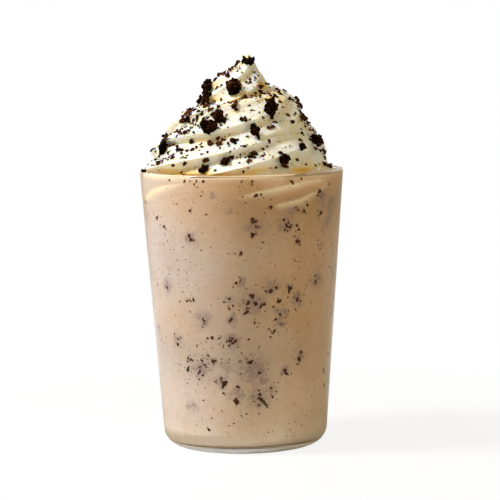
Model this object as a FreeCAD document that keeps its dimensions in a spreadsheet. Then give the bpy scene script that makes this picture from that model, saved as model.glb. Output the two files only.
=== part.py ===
"""Cookies and cream frappe: a clear tumbler, the blended drink in it, a piped swirl of
whipped cream on top and broken chocolate cookies resting on the cream.

Millimetres, +Z up. The origin is the centre of the glass's footprint, on the table.
"""
import FreeCAD, Part
import math
import os
import random

import Sketcher
from FreeCAD import Placement, Rotation, Vector

os.makedirs("parts", exist_ok=True)
doc = FreeCAD.newDocument("frappe")

# ---------------------------------------------------------------- driving dimensions
SIZES = {
    # tumbler
    "glass_height": 117.0,
    "rim_diameter": 86.0,
    "foot_diameter": 68.4,          # where the side, drawn on down, would meet the table
    "wall": 2.0,
    "base_thickness": 3.6,
    "heel_radius": 7.6,             # rounding from the side into the underside
    "inner_heel_radius": 6.0,
    "lip_radius": 0.9,
    "ring_width": 3.0,              # flat ring that the glass stands on
    "punt_depth": 0.8,              # hollow inside that ring
    # drink
    "fill_gap": 1.5,                # from the rim down to the level
    "wall_clearance": 0.1,
    "sink_depth": 6.0,              # how far the cream's middle has sunk in
    "sink_margin": 7.8,             # drink left round the sunk middle, at the level
    "sink_flare": 7.0,              # how much narrower the sunk middle is at its bottom
    "sink_clearance": 0.1,
    # whipped cream
    "cream_clearance": 0.7,         # between the lowest ridges and the glass
    "cream_height": 49.5,           # above the drink
    "coil_pitch": 16.0,             # rise of the rope in one turn round the glass
    "flute_rise": 51.0,             # rise of a ridge in one turn
    "flute_depth": 4.3,
    "lip_droop": 1.0,               # how far each ridge hangs over the groove below it
    "coil_swell": 1.75,             # how far the rope's middle stands out from its seam
    "tip_shift": 1.7,               # the tip leans over to +X
    "base_sag": 1.6,                # the lowest coil lies a little to -X
    "tip_radius": 0.9,
    "ridge_turn": 12.0,             # degrees that the ridges are turned round the glass
    "bud_slimming": 0.26,           # share by which the last, thinner turn of rope is narrower
    # cookie pieces
    "cookie_clearance": 0.15,
}

sheet = doc.addObject("Spreadsheet::Sheet", "sizes")
for row, (alias, value) in enumerate(SIZES.items(), start=1):
    sheet.set(f"A{row}", alias)
    sheet.set(f"B{row}", str(value))
    sheet.setAlias(f"B{row}", alias)


def add_cookie_sizes(first_row, name, size):
    """Put one cookie piece's length, width and thickness on the sheet."""
    for step, (axis, value) in enumerate(zip(("length", "width", "thickness"), size)):
        row = first_row + step
        sheet.set(f"A{row}", f"{name}_{axis}")
        sheet.set(f"B{row}", str(value))
        sheet.setAlias(f"B{row}", f"{name}_{axis}")


# Each cookie piece: azimuth in degrees (0 is +X, 270 the front), height above the drink,
# (length, width, thickness), turn about the way it faces, in degrees.
COOKIES = [
    (248, 36.0, (9.2, 7.4, 6.0), 20),
    (297, 28.6, (8.0, 7.2, 5.6), 60),
    (244, 21.0, (7.8, 6.6, 5.0), 10),
    (248, 24.6, (6.6, 5.8, 4.4), 75),
    (335, 13.5, (10.4, 6.4, 4.0), 62),
    (280, 18.2, (7.8, 4.6, 4.2), 130),
    (198, 31.6, (7.4, 5.6, 4.6), 35),
    (179, 35.8, (6.0, 4.4, 4.2), 60),
    (170, 31.0, (6.6, 5.0, 2.8), 120),
    (201, 10.9, (6.8, 4.6, 3.6), 15),
    (300, 4.9, (5.6, 5.2, 4.2), 90),
    (278, 46.7, (5.4, 4.4, 3.8), 25),
    (262, 6.9, (4.8, 4.2, 3.6), 50),
    (247, 4.1, (4.8, 4.2, 3.6), 5),
    (316, 12.3, (4.4, 4.0, 3.4), 80),
    (20, 27.5, (7.0, 5.6, 4.4), 40),
    (40, 12.0, (8.6, 6.0, 4.6), 100),
    (66, 33.0, (7.6, 6.6, 5.2), 15),
    (88, 20.5, (8.4, 6.4, 5.0), 70),
    (112, 8.0, (5.4, 4.8, 4.0), 30),
    (132, 27.0, (7.2, 6.0, 4.8), 110),
    (155, 16.5, (6.2, 5.2, 4.0), 55),
]
names = [f"cookie_piece_{number:02d}" for number in range(1, len(COOKIES) + 1)]
for index, (name, cookie) in enumerate(zip(names, COOKIES)):
    add_cookie_sizes(len(SIZES) + 1 + 3 * index, name, cookie[2])
doc.recompute()


def size(alias):
    """A plain number from the sheet, in millimetres."""
    return float(sheet.get(alias))


# ---------------------------------------------------------------- turned bodies
def origin_plane(body, role):
    """One of the body's own origin planes."""
    return next(item for item in body.Origin.OriginFeatures if item.Role == role)


def turned_body(label, points, bindings):
    """A PartDesign body turned about Z from a closed outline in the XZ plane.

    points are (radius, height) pairs; bindings give each point's two sheet formulas, or
    None for a radius that lies on the axis.
    """
    body = doc.addObject("PartDesign::Body", label)
    body.Label = label
    sketch = body.newObject("Sketcher::SketchObject", f"{label}_outline")
    sketch.AttachmentSupport = [(origin_plane(body, "XZ_Plane"), "")]
    sketch.MapMode = "FlatFace"
    count = len(points)
    for index in range(count):
        start, end = points[index], points[(index + 1) % count]
        sketch.addGeometry(Part.LineSegment(Vector(*start, 0), Vector(*end, 0)), False)
    for index in range(count):
        follower = (index + 1) % count
        sketch.addConstraint(Sketcher.Constraint("Coincident", index, 2, follower, 1))
    for index, (radius_rule, height_rule) in enumerate(bindings):
        if radius_rule is None:
            sketch.addConstraint(Sketcher.Constraint("PointOnObject", index, 1, -2))
        else:
            bind(sketch, "DistanceX", index, f"p{index}_radius", points[index][0], radius_rule)
        bind(sketch, "DistanceY", index, f"p{index}_height", points[index][1], height_rule)
    revolution = body.newObject("PartDesign::Revolution", f"{label}_turned")
    revolution.Profile = sketch
    revolution.ReferenceAxis = (sketch, ["V_Axis"])
    revolution.Angle = 360.0
    doc.recompute()
    return body, revolution


def bind(sketch, kind, line, name, value, rule):
    """Tie one coordinate of a line's first point to a formula of the sheet."""
    constraint = Sketcher.Constraint(kind, -1, 1, line, 1, value)
    index = sketch.addConstraint(constraint)
    sketch.renameConstraint(index, name)
    sketch.setExpression(f"Constraints.{name}", rule)


def circle_edges(shape, wanted):
    """Names of the circular edges at the given (radius, height) places."""
    found = []
    for number, edge in enumerate(shape.Edges, start=1):
        if not isinstance(edge.Curve, Part.Circle):
            continue
        radius, height = edge.Curve.Radius, edge.Curve.Center.z
        if any(abs(radius - r) < 0.01 and abs(height - h) < 0.01 for r, h in wanted):
            found.append(f"Edge{number}")
    return found


def rounded(body, base, label, wanted, rule):
    """Fillet the circular edges at the given places, with a radius from the sheet."""
    edges = circle_edges(base.Shape, wanted)
    if len(edges) != len(wanted):
        raise RuntimeError(f"{label}: found {len(edges)} of {len(wanted)} edges")
    fillet = body.newObject("PartDesign::Fillet", label)
    fillet.Base = (base, edges)
    fillet.setExpression("Radius", rule)
    body.Tip = fillet
    doc.recompute()
    return fillet


# The side's slope, shared by the glass, the drink and the cream.
SLOPE_RULE = "(sizes.rim_diameter - sizes.foot_diameter) / 2 / sizes.glass_height"


def outer_radius(height):
    """Outside radius of the tumbler's straight side at a height."""
    slope = (size("rim_diameter") - size("foot_diameter")) / 2 / size("glass_height")
    return size("foot_diameter") / 2 + slope * height


def make_glass():
    """The tumbler: a straight taper, a rounded heel, a hollow underside, a round lip."""
    height, base, wall = size("glass_height"), size("base_thickness"), size("wall")
    heel, rim = size("heel_radius"), size("rim_diameter") / 2
    foot = size("foot_diameter") / 2
    ring_inside = foot - heel - size("ring_width")
    points = [
        (0, size("punt_depth")),
        (ring_inside, 0),
        (foot, 0),
        (rim, height),
        (rim - wall, height),
        (outer_radius(base) - wall, base),
        (0, base),
    ]
    foot_rule = "sizes.foot_diameter / 2"
    bindings = [
        (None, "sizes.punt_depth"),
        (f"{foot_rule} - sizes.heel_radius - sizes.ring_width", "0 mm"),
        (foot_rule, "0 mm"),
        ("sizes.rim_diameter / 2", "sizes.glass_height"),
        ("sizes.rim_diameter / 2 - sizes.wall", "sizes.glass_height"),
        (f"{foot_rule} + {SLOPE_RULE} * sizes.base_thickness - sizes.wall", "sizes.base_thickness"),
        (None, "sizes.base_thickness"),
    ]
    body, turned = turned_body("glass", points, bindings)
    feature = rounded(body, turned, "heel", [(foot, 0)], "sizes.heel_radius")
    inner = [(outer_radius(base) - wall, base)]
    feature = rounded(body, feature, "inner_heel", inner, "sizes.inner_heel_radius")
    lips = [(rim, height), (rim - wall, height)]
    rounded(body, feature, "lip", lips, "min(sizes.lip_radius; 0.45 * sizes.wall)")
    return body


def drink_radius(height):
    """Radius of the drink where it meets the glass, at a height."""
    return outer_radius(height) - size("wall") - size("wall_clearance")


def sunk_radii():
    """Radii of the hollow that the cream has sunk into: at the level, and at its bottom."""
    top = drink_radius(size("glass_height") - size("fill_gap")) - size("sink_margin")
    return top, top - size("sink_flare")


def make_drink():
    """The frappe: fills the tumbler to its level, hollowed where the cream has sunk in."""
    base = size("base_thickness")
    level = size("glass_height") - size("fill_gap")
    floor = level - size("sink_depth")
    sunk_top, sunk_bottom = sunk_radii()
    points = [
        (0, base),
        (drink_radius(base), base),
        (drink_radius(level), level),
        (sunk_top, level),
        (sunk_bottom, floor),
        (0, floor),
    ]
    inside = "- sizes.wall - sizes.wall_clearance"
    level_rule = "sizes.glass_height - sizes.fill_gap"
    foot_rule = "sizes.foot_diameter / 2"
    edge_rule = f"{foot_rule} + {SLOPE_RULE} * ({level_rule}) {inside}"
    sunk_rule = f"{edge_rule} - sizes.sink_margin"
    bindings = [
        (None, "sizes.base_thickness"),
        (f"{foot_rule} + {SLOPE_RULE} * sizes.base_thickness {inside}", "sizes.base_thickness"),
        (edge_rule, level_rule),
        (sunk_rule, level_rule),
        (f"{sunk_rule} - sizes.sink_flare", f"{level_rule} - sizes.sink_depth"),
        (None, f"{level_rule} - sizes.sink_depth"),
    ]
    body, turned = turned_body("frappe", points, bindings)
    rounded(body, turned, "frappe_heel", [points[1]], "sizes.inner_heel_radius")
    return body


# ---------------------------------------------------------------- the swirl of cream
TURN = 2 * math.pi
AROUND = 108                        # control points round the swirl
ROWS = 44                           # and up it
FLUTES = 6                          # ridges round the swirl
SEAM_BAND = 0.10                    # share of the pitch over which one coil meets the next
SEAM_START = 2.44                   # height of the seam at azimuth 0
SEAM_STEP = 0.14                    # share of the taper taken in steps at the low seams
BUD_STEP = 0.18                     # and how much more of it at the seam under the bud
BUD_RISE = (0.2, 0.7)               # shares of the height between which that grows
SEAM_SHIFT = 0.22                   # share of a flute by which ridges miss at a seam
SLIM_START, SLIM_END = 1.40, 1.58   # turns of rope laid by which the narrowing begins and ends
TAPER_POWER = 1.53
LOW_INSET = 0.5                     # the lowest coil's mean radius lies this far inside
ROPE_POWER, ROPE_MIDDLE = 0.8, 0.7  # how full the rope's section is
WANDER_AROUND, WANDER_UP = 0.10, 0.08   # a hand's unevenness, in flutes
WANDER_RISE = 7.0                   # and how soon it changes going up
LEDGE_SHARE = 0.45                  # share of a flute that is the lit ledge above its groove
GROOVE_POWER = 2.0                  # how sharply the ridge's underside falls back
LEDGE_POWER = 1.2                   # and how evenly the ledge comes out again
MEAN_DEPTH, DEPTH_CHANGE = 0.85, 0.25   # the flutes are deeper on one side than the other
DEEP_SIDE, DEEP_RISE = 3.0, 9.0     # where, and how soon that changes going up
RIDGE_SHARE = 0.75                  # share of a flute's depth that lies inside the mean radius
FULL_SIZE_RADIUS = 14.0             # below this radius the ridges shrink with the swirl
DROOP_START, DROOP_END = 3.0, 4.0   # no droop this near the drink or the tip
SAG_RISE, SAG_FALL = 0.16, 0.36     # shares of the height where the lowest coil's lean ends


def smooth(low, high, value):
    """0 below low, 1 above high, with a soft step between."""
    share = min(max((value - low) / (high - low), 0.0), 1.0)
    return share * share * (3 - 2 * share)


def ridge_height(azimuth, height, coil):
    """How far a point is up its flute: 1 on the ridge's edge, 0 in the groove."""
    wander = WANDER_AROUND * math.sin(2 * azimuth + 1.3)
    wander += WANDER_UP * math.sin(3 * azimuth - height / WANDER_RISE)
    around = azimuth / TURN
    flutes = FLUTES * (around + size("ridge_turn") / 360 - height / size("flute_rise"))
    down = (flutes + SEAM_SHIFT * (around + coil) + wander) % 1.0
    groove = 1 - LEDGE_SHARE
    if down < groove:
        return (1 - down / groove) ** GROOVE_POWER
    return ((down - groove) / LEDGE_SHARE) ** LEDGE_POWER


def swirl_point(azimuth, height):
    """A point of the cream's surface. height is above the drink, azimuth in radians.

    The cream is one rope, laid in a climbing spiral and shrinking to a bud. The star
    nozzle gives it ridges that climb faster than the rope does: each has a lit ledge
    above it and a groove under its hanging edge.
    """
    top, pitch = size("cream_height"), size("coil_pitch")
    level = size("glass_height") - size("fill_gap")
    widest = outer_radius(level) - size("wall") - size("cream_clearance")
    # where this point lies across the rope: 0 just above the seam, 1 just under the next
    climb = (height - SEAM_START) / pitch - azimuth / TURN
    across = climb - math.floor(climb)
    joined = 1 - smooth(0, SEAM_BAND, across)
    # the swirl's mean radius, taken partly in steps at the seams
    step = SEAM_STEP + BUD_STEP * smooth(BUD_RISE[0] * top, BUD_RISE[1] * top, height)
    stepped = height + step * pitch * (0.5 - across - joined)
    share = min(max(stepped / top, 0.0), 1.0)
    span = widest - size("tip_radius") - LOW_INSET
    radius = size("tip_radius") + span * (1 - share ** TAPER_POWER)
    scale = min(radius / FULL_SIZE_RADIUS, 1.0)
    fullness = abs(math.sin(math.pi * across)) ** ROPE_POWER - ROPE_MIDDLE
    radius += size("coil_swell") * scale * fullness
    ridge = ridge_height(azimuth, height, math.floor(climb) - joined)
    change = math.sin(azimuth - DEEP_SIDE + height / DEEP_RISE)
    depth = size("flute_depth") * scale * (MEAN_DEPTH + DEPTH_CHANGE * change)
    radius = min(max(radius + depth * (ridge - RIDGE_SHARE), 0.2), widest)
    laid = climb - across - joined + azimuth / TURN
    radius *= 1 - size("bud_slimming") * smooth(SLIM_START, SLIM_END, laid)
    free = smooth(0, DROOP_START, height) * smooth(top, top - DROOP_END, height)
    droop = size("lip_droop") * scale * ridge ** 2 * free
    lean = smooth(0, SAG_RISE * top, height) * smooth(SAG_FALL * top, SAG_FALL / 2 * top, height)
    shift = size("tip_shift") * smooth(0.1 * top, 0.95 * top, height) - size("base_sag") * lean
    return Vector(
        radius * math.cos(azimuth) + shift,
        radius * math.sin(azimuth),
        level + height - droop,
    )


def swirl_surface():
    """A B-spline surface, closed round the swirl, whose grid lines climb with the ridges."""
    top = size("cream_height")
    heights = [top * row / (ROWS - 1) for row in range(ROWS)]
    poles = []
    for column in range(AROUND):
        poles.append([])
        for height in heights:
            azimuth = TURN * (column / AROUND + height / size("flute_rise"))
            poles[-1].append(swirl_point(azimuth % TURN, height))
    surface = Part.BSplineSurface()
    inner_knots = ROWS - 3
    surface.buildFromPolesMultsKnots(
        poles,
        [1] * (AROUND + 1),
        [4] + [1] * (inner_knots - 1) + [4],
        list(range(AROUND + 1)),
        list(range(inner_knots + 1)),
        True,
        False,
        3,
        3,
    )
    return surface


def make_cream(surface):
    """The cream: the swirl, a flat underside on the drink, and its sunk middle below."""
    level = size("glass_height") - size("fill_gap")
    top_radius, bottom_radius = (radius - size("sink_clearance") for radius in sunk_radii())
    side = surface.toShape()
    rims = [edge for edge in side.Edges if edge.isClosed()]
    low_edge = min(rims, key=lambda edge: edge.CenterOfMass.z)
    high_edge = max(rims, key=lambda edge: edge.CenterOfMass.z)
    sunk = Part.makeCone(
        bottom_radius, top_radius, size("sink_depth"), Vector(0, 0, level - size("sink_depth"))
    )
    sunk_faces = [face for face in sunk.Faces if face.CenterOfMass.z < level - 0.01]
    sunk_rim = max(sunk.Edges, key=lambda edge: edge.CenterOfMass.z)
    underside = Part.Face([Part.Wire(low_edge), Part.Wire(sunk_rim)])
    underside.validate()
    cap = Part.Face(Part.Wire(high_edge))
    shell = Part.makeShell([side, cap, underside] + sunk_faces)
    shell.sewShape()
    solid = Part.makeSolid(shell)
    if solid.Volume < 0:
        solid.reverse()
    cream = doc.addObject("Part::Feature", "whipped_cream")
    cream.Label = "whipped_cream"
    cream.Shape = solid
    return cream


# ---------------------------------------------------------------- cookie pieces
SAMPLES_AROUND = 540
SAMPLES_UP = 220
CORNERS = 15                        # corners of one broken piece
BOXINESS = 0.55                     # 0 would spread the corners over a ball, 1 over a box
LIE_REACH = 9.0                     # cream this far past a piece can carry it


def cream_samples(surface):
    """Points over the whole swirl, to seat the cookie pieces on."""
    first, last, low, high = surface.bounds()
    points = []
    for i in range(SAMPLES_AROUND):
        across = first + (last - first) * i / SAMPLES_AROUND
        for j in range(SAMPLES_UP):
            points.append(surface.value(across, low + (high - low) * j / (SAMPLES_UP - 1)))
    return points


def hull_faces(points):
    """Triangles of the convex hull of a few points, facing outwards."""
    middle = sum(points, Vector()) * (1 / len(points))
    triangles = []
    count = len(points)
    for a in range(count):
        for b in range(a + 1, count):
            for c in range(b + 1, count):
                normal = (points[b] - points[a]).cross(points[c] - points[a])
                if normal.Length < 1e-6:
                    continue
                if normal.dot(points[a] - middle) < 0:
                    normal = -normal
                offsets = [normal.dot(p - points[a]) for p in points]
                if max(offsets) < 1e-7 * normal.Length:
                    triangles.append((points[a], points[b], points[c], normal.normalize()))
    return triangles


def broken_piece(length, width, thickness, seed):
    """Corners of an irregular lump that just fills its length, width and thickness."""
    chance = random.Random(seed)
    corners = []
    for number in range(CORNERS):
        # spread over a ball, then pushed out towards a box so that it reads as a broken slab
        rise = 1 - 2 * (number + 0.5) / CORNERS
        spin = number * math.pi * (3 - math.sqrt(5)) + chance.uniform(-0.35, 0.35)
        flat = math.sqrt(1 - rise * rise)
        ball = Vector(flat * math.cos(spin), flat * math.sin(spin), rise)
        push = chance.uniform(0.80, 1.0) / max(abs(ball.x), abs(ball.y), abs(ball.z)) ** BOXINESS
        corners.append(ball * push)
    spans = [max(abs(corner[axis]) for corner in corners) for axis in range(3)]
    halves = (length / 2, width / 2, thickness / 2)
    scaled = []
    for corner in corners:
        scaled.append(Vector(*(corner[axis] / spans[axis] * halves[axis] for axis in range(3))))
    return scaled


INNER_SHARE, TILT = 0.15, 0.35      # aim from a little off the axis, and from below


def outward_at(surface_points, site, reach):
    """Mean outward direction of the cream round a site, tilted a little upwards."""
    near = [point for point in surface_points if (point - site).Length < reach]
    middle = sum(near, Vector()) * (1 / len(near))
    flat = Vector(site.x, site.y, 0)
    inside = flat * INNER_SHARE + Vector(0, 0, middle.z - TILT * flat.Length)
    return (middle - inside).normalize()


def seated(corners, outward, site, turn, surface_points):
    """Move a lump in along outward until it rests on the cream, short by the clearance."""
    lie = Rotation(Vector(0, 0, 1), outward).multiply(Rotation(Vector(0, 0, 1), turn))
    turned = [lie.multVec(corner) for corner in corners]
    triangles = hull_faces(turned)
    planes = [(normal, normal.dot(a)) for a, b, c, normal in triangles]
    reach = max(corner.Length for corner in turned)
    near = [point for point in surface_points if (point - site).Length < reach + LIE_REACH]

    def gap(offset):
        centre = site + outward * offset
        gaps = []
        for point in near:
            local = point - centre
            if local.Length < reach + 1:
                gaps.append(max(normal.dot(local) - limit for normal, limit in planes))
        return min(gaps) if gaps else 1.0

    low, high = -2.0, reach + 8.0
    for _ in range(26):
        offset = (low + high) / 2
        if gap(offset) < size("cookie_clearance"):
            low = offset
        else:
            high = offset
    centre = site + outward * high
    return centre, triangles


PIECE_GAP = 0.02                    # least air between two pieces
MOST_SHIFT = 40                     # degrees a piece may move aside for its neighbours


def broken_solid(triangles):
    """A solid from the triangles of a lump."""
    shell = Part.makeShell([Part.Face(Part.makePolygon([a, b, c, a])) for a, b, c, _ in triangles])
    shell.sewShape()
    solid = Part.makeSolid(shell)
    if solid.Volume < 0:
        solid.reverse()
    return solid


def is_clear(solid, others):
    """Whether a solid keeps the least gap from all the others."""
    for other in others:
        if solid.BoundBox.intersect(other.BoundBox) and solid.distToShape(other)[0] < PIECE_GAP:
            return False
    return True


def make_cookies(surface_points):
    """Every broken cookie piece, each resting on the cream beside its neighbours.

    On a smaller or steeper swirl two places come closer, so a piece that would run into an
    earlier one moves round the swirl, a degree at a time, until it lies clear.
    """
    made = []
    level = size("glass_height") - size("fill_gap")
    for number, (name, cookie) in enumerate(zip(names, COOKIES), start=1):
        azimuth, height, _, turn = cookie
        lengths = [size(f"{name}_{axis}") for axis in ("length", "width", "thickness")]
        share = height / SIZES["cream_height"]
        corners = broken_piece(*lengths, seed=number)
        for shift in sorted(range(-MOST_SHIFT, MOST_SHIFT + 1), key=abs):
            site = swirl_point(math.radians(azimuth + shift), share * size("cream_height"))
            outward = outward_at(surface_points, site, max(lengths) / 2 + 1)
            centre, triangles = seated(corners, outward, site, turn, surface_points)
            solid = broken_solid(triangles)
            if is_clear(solid.translated(centre), [other.Shape for other in made]):
                break
        else:
            raise RuntimeError(f"no free place for {name}")
        piece = doc.addObject("Part::Feature", name)
        piece.Label = name
        piece.Shape = solid
        piece.Placement = Placement(centre, Rotation())
        made.append(piece)
        print(f"{name}: {centre.z - level:.1f} above the drink, moved {shift} degrees")
    return made


# ---------------------------------------------------------------- build, check, write
glass = make_glass()
drink = make_drink()
surface = swirl_surface()
cream = make_cream(surface)
cookies = make_cookies(cream_samples(surface))
doc.recompute()

for item in doc.Objects:
    if "Invalid" in item.State or "Error" in item.State:
        raise RuntimeError(f"{item.Label} did not compute: {item.State}")

for item in [glass, drink, cream] + cookies:
    shape = item.Shape
    if shape.isNull() or not shape.isValid() or len(shape.Solids) != 1:
        raise RuntimeError(f"{item.Label} is not one valid solid")
    shape.exportStep(f"parts/{item.Label}.step")
    print(f"{item.Label}: {shape.Volume / 1000:.2f} cm3")
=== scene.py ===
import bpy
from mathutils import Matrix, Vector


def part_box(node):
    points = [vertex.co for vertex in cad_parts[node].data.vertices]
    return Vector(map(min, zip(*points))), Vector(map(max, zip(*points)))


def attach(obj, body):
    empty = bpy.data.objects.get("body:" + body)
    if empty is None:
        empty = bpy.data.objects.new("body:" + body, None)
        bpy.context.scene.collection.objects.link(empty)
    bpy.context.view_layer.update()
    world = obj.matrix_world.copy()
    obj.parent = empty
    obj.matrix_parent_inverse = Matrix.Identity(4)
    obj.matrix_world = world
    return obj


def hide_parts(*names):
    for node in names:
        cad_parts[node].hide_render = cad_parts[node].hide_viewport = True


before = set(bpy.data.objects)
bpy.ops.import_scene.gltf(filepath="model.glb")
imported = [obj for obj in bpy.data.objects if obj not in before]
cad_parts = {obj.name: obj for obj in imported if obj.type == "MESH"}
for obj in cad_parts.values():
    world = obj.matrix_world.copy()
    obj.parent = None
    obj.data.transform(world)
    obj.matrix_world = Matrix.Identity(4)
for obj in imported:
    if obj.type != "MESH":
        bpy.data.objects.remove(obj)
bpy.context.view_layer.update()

# %% Tools and units
import math
import random

import bmesh
import bpy
import numpy as np
from mathutils import Matrix, Vector, noise
from mathutils.bvhtree import BVHTree

MM = 0.001
TURN = 2 * math.pi
WHITE = (1, 1, 1, 1)
scene = bpy.context.scene
scene.view_settings.view_transform = "Standard"


def put(name, data):
    """Put a new object in the scene, at the origin."""
    made = bpy.data.objects.new(name, data)
    scene.collection.objects.link(made)
    return made


# %% [markdown]
# ## Sizes
# The tumbler's height and the drink's level come from the imported model. The rest are the
# sizes of its outline, in metres.
# %% The tumbler's sizes
GLASS_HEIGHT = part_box("glass")[1][2]
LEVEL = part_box("frappe")[1][2]
RIM_RADIUS, FOOT_RADIUS = 43.0 * MM, 34.2 * MM
WALL, BASE = 2.0 * MM, 3.6 * MM
HEEL, INNER_HEEL, LIP = 7.6 * MM, 6.0 * MM, 0.9 * MM
RING_WIDTH, PUNT = 3.0 * MM, 0.8 * MM
SINK_TOP, SINK_BOTTOM, SINK_DEPTH = 33.0 * MM, 26.0 * MM, 6.0 * MM
SLOPE = (RIM_RADIUS - FOOT_RADIUS) / GLASS_HEIGHT


def outer_radius(height):
    """Radius of the tumbler's straight outside at a height."""
    return FOOT_RADIUS + (RIM_RADIUS - FOOT_RADIUS) * height / GLASS_HEIGHT


print(f"glass {GLASS_HEIGHT / MM:.1f} mm high, level at {LEVEL / MM:.1f} mm")

# %% [markdown]
# ## The camera
# It looks at the glass from the front and a little above, through a long lens, so that the
# rim shows as a thin line and the glass hardly narrows with distance.
# %% Camera
DISTANCE, ELEVATION, ROLL = 1.0, math.radians(5.8), math.radians(0.92)
AIM = Vector((3.06 * MM, 0, 82.4 * MM))
FRAME_WIDTH, SENSOR = 0.21225, 36.0

camera = put("camera", bpy.data.cameras.new("camera"))
back = Vector((0, -math.cos(ELEVATION), math.sin(ELEVATION)))
upright = (-back).to_track_quat("-Z", "Y")
camera.rotation_mode = "QUATERNION"
camera.rotation_quaternion = upright @ Matrix.Rotation(-ROLL, 3, "Z").to_quaternion()
camera.location = AIM + back * DISTANCE
camera.data.sensor_width = SENSOR
camera.data.lens = SENSOR * DISTANCE / FRAME_WIDTH
camera.data.clip_end = 20
scene.camera = camera
print(f"lens {camera.data.lens:.0f} mm")

# %% [markdown]
# ## Writing node trees
# The world, the finishes and the soft shapes are all node trees. `node` adds one node and
# fills its inputs, and `feed` fills the inputs of a node that is there already.
# %% Nodes
def socket_of(value):
    """The socket that a Field or a node stands for. Anything else comes back as it is."""
    if isinstance(value, Field):
        return value.socket
    if isinstance(value, bpy.types.Node):
        return next(socket for socket in value.outputs if socket.enabled)
    return value


def feed(made, *values, **named):
    """Link or set a node's inputs, by place or by name, where _ stands for a space."""
    for key, value in (*enumerate(values), *named.items()):
        slot = made.inputs[key if isinstance(key, int) else key.replace("_", " ")]
        value = socket_of(value)
        if isinstance(value, bpy.types.NodeSocket):
            made.id_data.links.new(value, slot)
        else:
            slot.default_value = value
    return made


def node(tree, kind, *values, **named):
    """Add a node. Names in small letters are its settings, and all others are its inputs."""
    made = tree.nodes.new(kind)
    for key in [key for key in named if key.islower()]:
        setattr(made, key, named.pop(key))
    return feed(made, *values, **named)


# %% [markdown]
# A `Field` stands for a number that changes from place to place. Each plus, minus or times
# between two of them adds a Math node, so a formula can be written as one.
# %% Fields
def using(operation):
    """A method that applies one operation of the Math node."""
    return lambda self, *others: self.math(operation, *others)


class Field:
    """A number that varies over a surface, inside a tree."""

    def __init__(self, source):
        self.socket = socket_of(source)

    def math(self, operation, *others):
        tree = self.socket.id_data
        return Field(node(tree, "ShaderNodeMath", self, *others, operation=operation))

    def __rsub__(self, other):
        return self.math("MULTIPLY_ADD", -1.0, other)

    __add__, __sub__, __mul__ = using("ADD"), using("SUBTRACT"), using("MULTIPLY")
    __truediv__, __pow__ = using("DIVIDE"), using("POWER")
    __radd__, __rmul__ = __add__, __mul__


def sine(value):
    return value.math("SINE")


def between(value, low, high):
    """The value, held between two limits."""
    return value.math("MAXIMUM", low).math("MINIMUM", high)


def smooth(low, high, value):
    """0 below low, 1 above high, with a soft step between."""
    share = between((value - low) / (high - low), 0.0, 1.0)
    return share * share * (3.0 - 2.0 * share)


def remap(tree, value, low, high, to_low=0.0, to_high=1.0, **settings):
    """Stretch a value from one range to another, held at both ends."""
    return Field(node(
        tree, "ShaderNodeMapRange", Value=value, From_Min=low, From_Max=high, To_Min=to_low,
        To_Max=to_high, **settings,
    ))


def vector_math(tree, operation, *values, **named):
    """A node that adds, scales or compares vectors."""
    return node(tree, "ShaderNodeVectorMath", *values, operation=operation, **named)


def scaled(tree, vector, amount):
    """A vector times a number."""
    return vector_math(tree, "SCALE", vector, Scale=amount)


def colour_mix(tree, factor, first, second, blend="MIX"):
    """A mix of two colours by a factor."""
    return node(
        tree, "ShaderNodeMix", data_type="RGBA", blend_type=blend, Factor=factor, A=first, B=second
    )


def object_place(tree):
    """The Object coordinates of the surface."""
    return node(tree, "ShaderNodeTexCoord").outputs["Object"]


print("tree helpers are ready")

# %% [markdown]
# ## Light
# A large soft lamp stands high on the left. A weak warm one on the right opens the shadows.
# %% Lamps
LAMP_AIM = Vector((0, 0, 0.11))
LAMPS = [
    # name, place, width, power, colour
    ("key", (-0.42, -0.10, 0.62), 0.16, 5.3, (0.86, 0.89, 1.0)),
    ("fill", (0.40, -0.68, 0.22), 0.50, 1.0, (1.0, 0.95, 0.84)),
]


def lamp(name, place, size, power, colour):
    """A square soft lamp at a place, turned towards the object."""
    light = bpy.data.lights.new(name, "AREA")
    light.size, light.energy, light.color = size, power, colour
    holder = put(name, light)
    holder.location = place
    holder.rotation_mode = "QUATERNION"
    holder.rotation_quaternion = (LAMP_AIM - Vector(place)).to_track_quat("-Z", "Y")
    holder.visible_transmission = False


for row in LAMPS:
    lamp(*row)
print("lamps:", len(LAMPS))

# %% [markdown]
# The world is plain white wherever the camera sees it, straight or through the glass, but it
# gives the object itself only a little light, so that the pale cream keeps its modelling.
# A mirror image in the glass shows the white backdrop behind it, and the dim room in front.
# %% World
AMBIENT, AMBIENT_COLOUR = 0.36, (1.0, 0.84, 0.52, 1)
BACKDROP_EDGE = (0.1, -0.6)         # where the view back along a mirror image turns white


def seen_straight(tree):
    """1 for a ray that shows the surroundings to the camera, also in glass, and 0 for light."""
    path = node(tree, "ShaderNodeLightPath").outputs
    seen = Field(path["Is Camera Ray"]).math("MAXIMUM", path["Is Transmission Ray"])
    return (seen - path["Diffuse Depth"]).math("MAXIMUM", 0.0)


world = bpy.data.worlds.new("studio")
scene.world = world
world.use_nodes = True
sky = world.node_tree
view = node(sky, "ShaderNodeSeparateXYZ", node(sky, "ShaderNodeNewGeometry").outputs["Incoming"])
mirrored = Field(node(sky, "ShaderNodeLightPath").outputs["Is Glossy Ray"])
white = seen_straight(sky).math("MAXIMUM", mirrored * remap(sky, view.outputs["Y"], *BACKDROP_EDGE))
feed(
    sky.nodes["Background"], colour_mix(sky, white, AMBIENT_COLOUR, WHITE),
    node(sky, "ShaderNodeMix", Factor=white, A=AMBIENT, B=1.0),
)
print("the world has", len(sky.nodes), "nodes")

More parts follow.
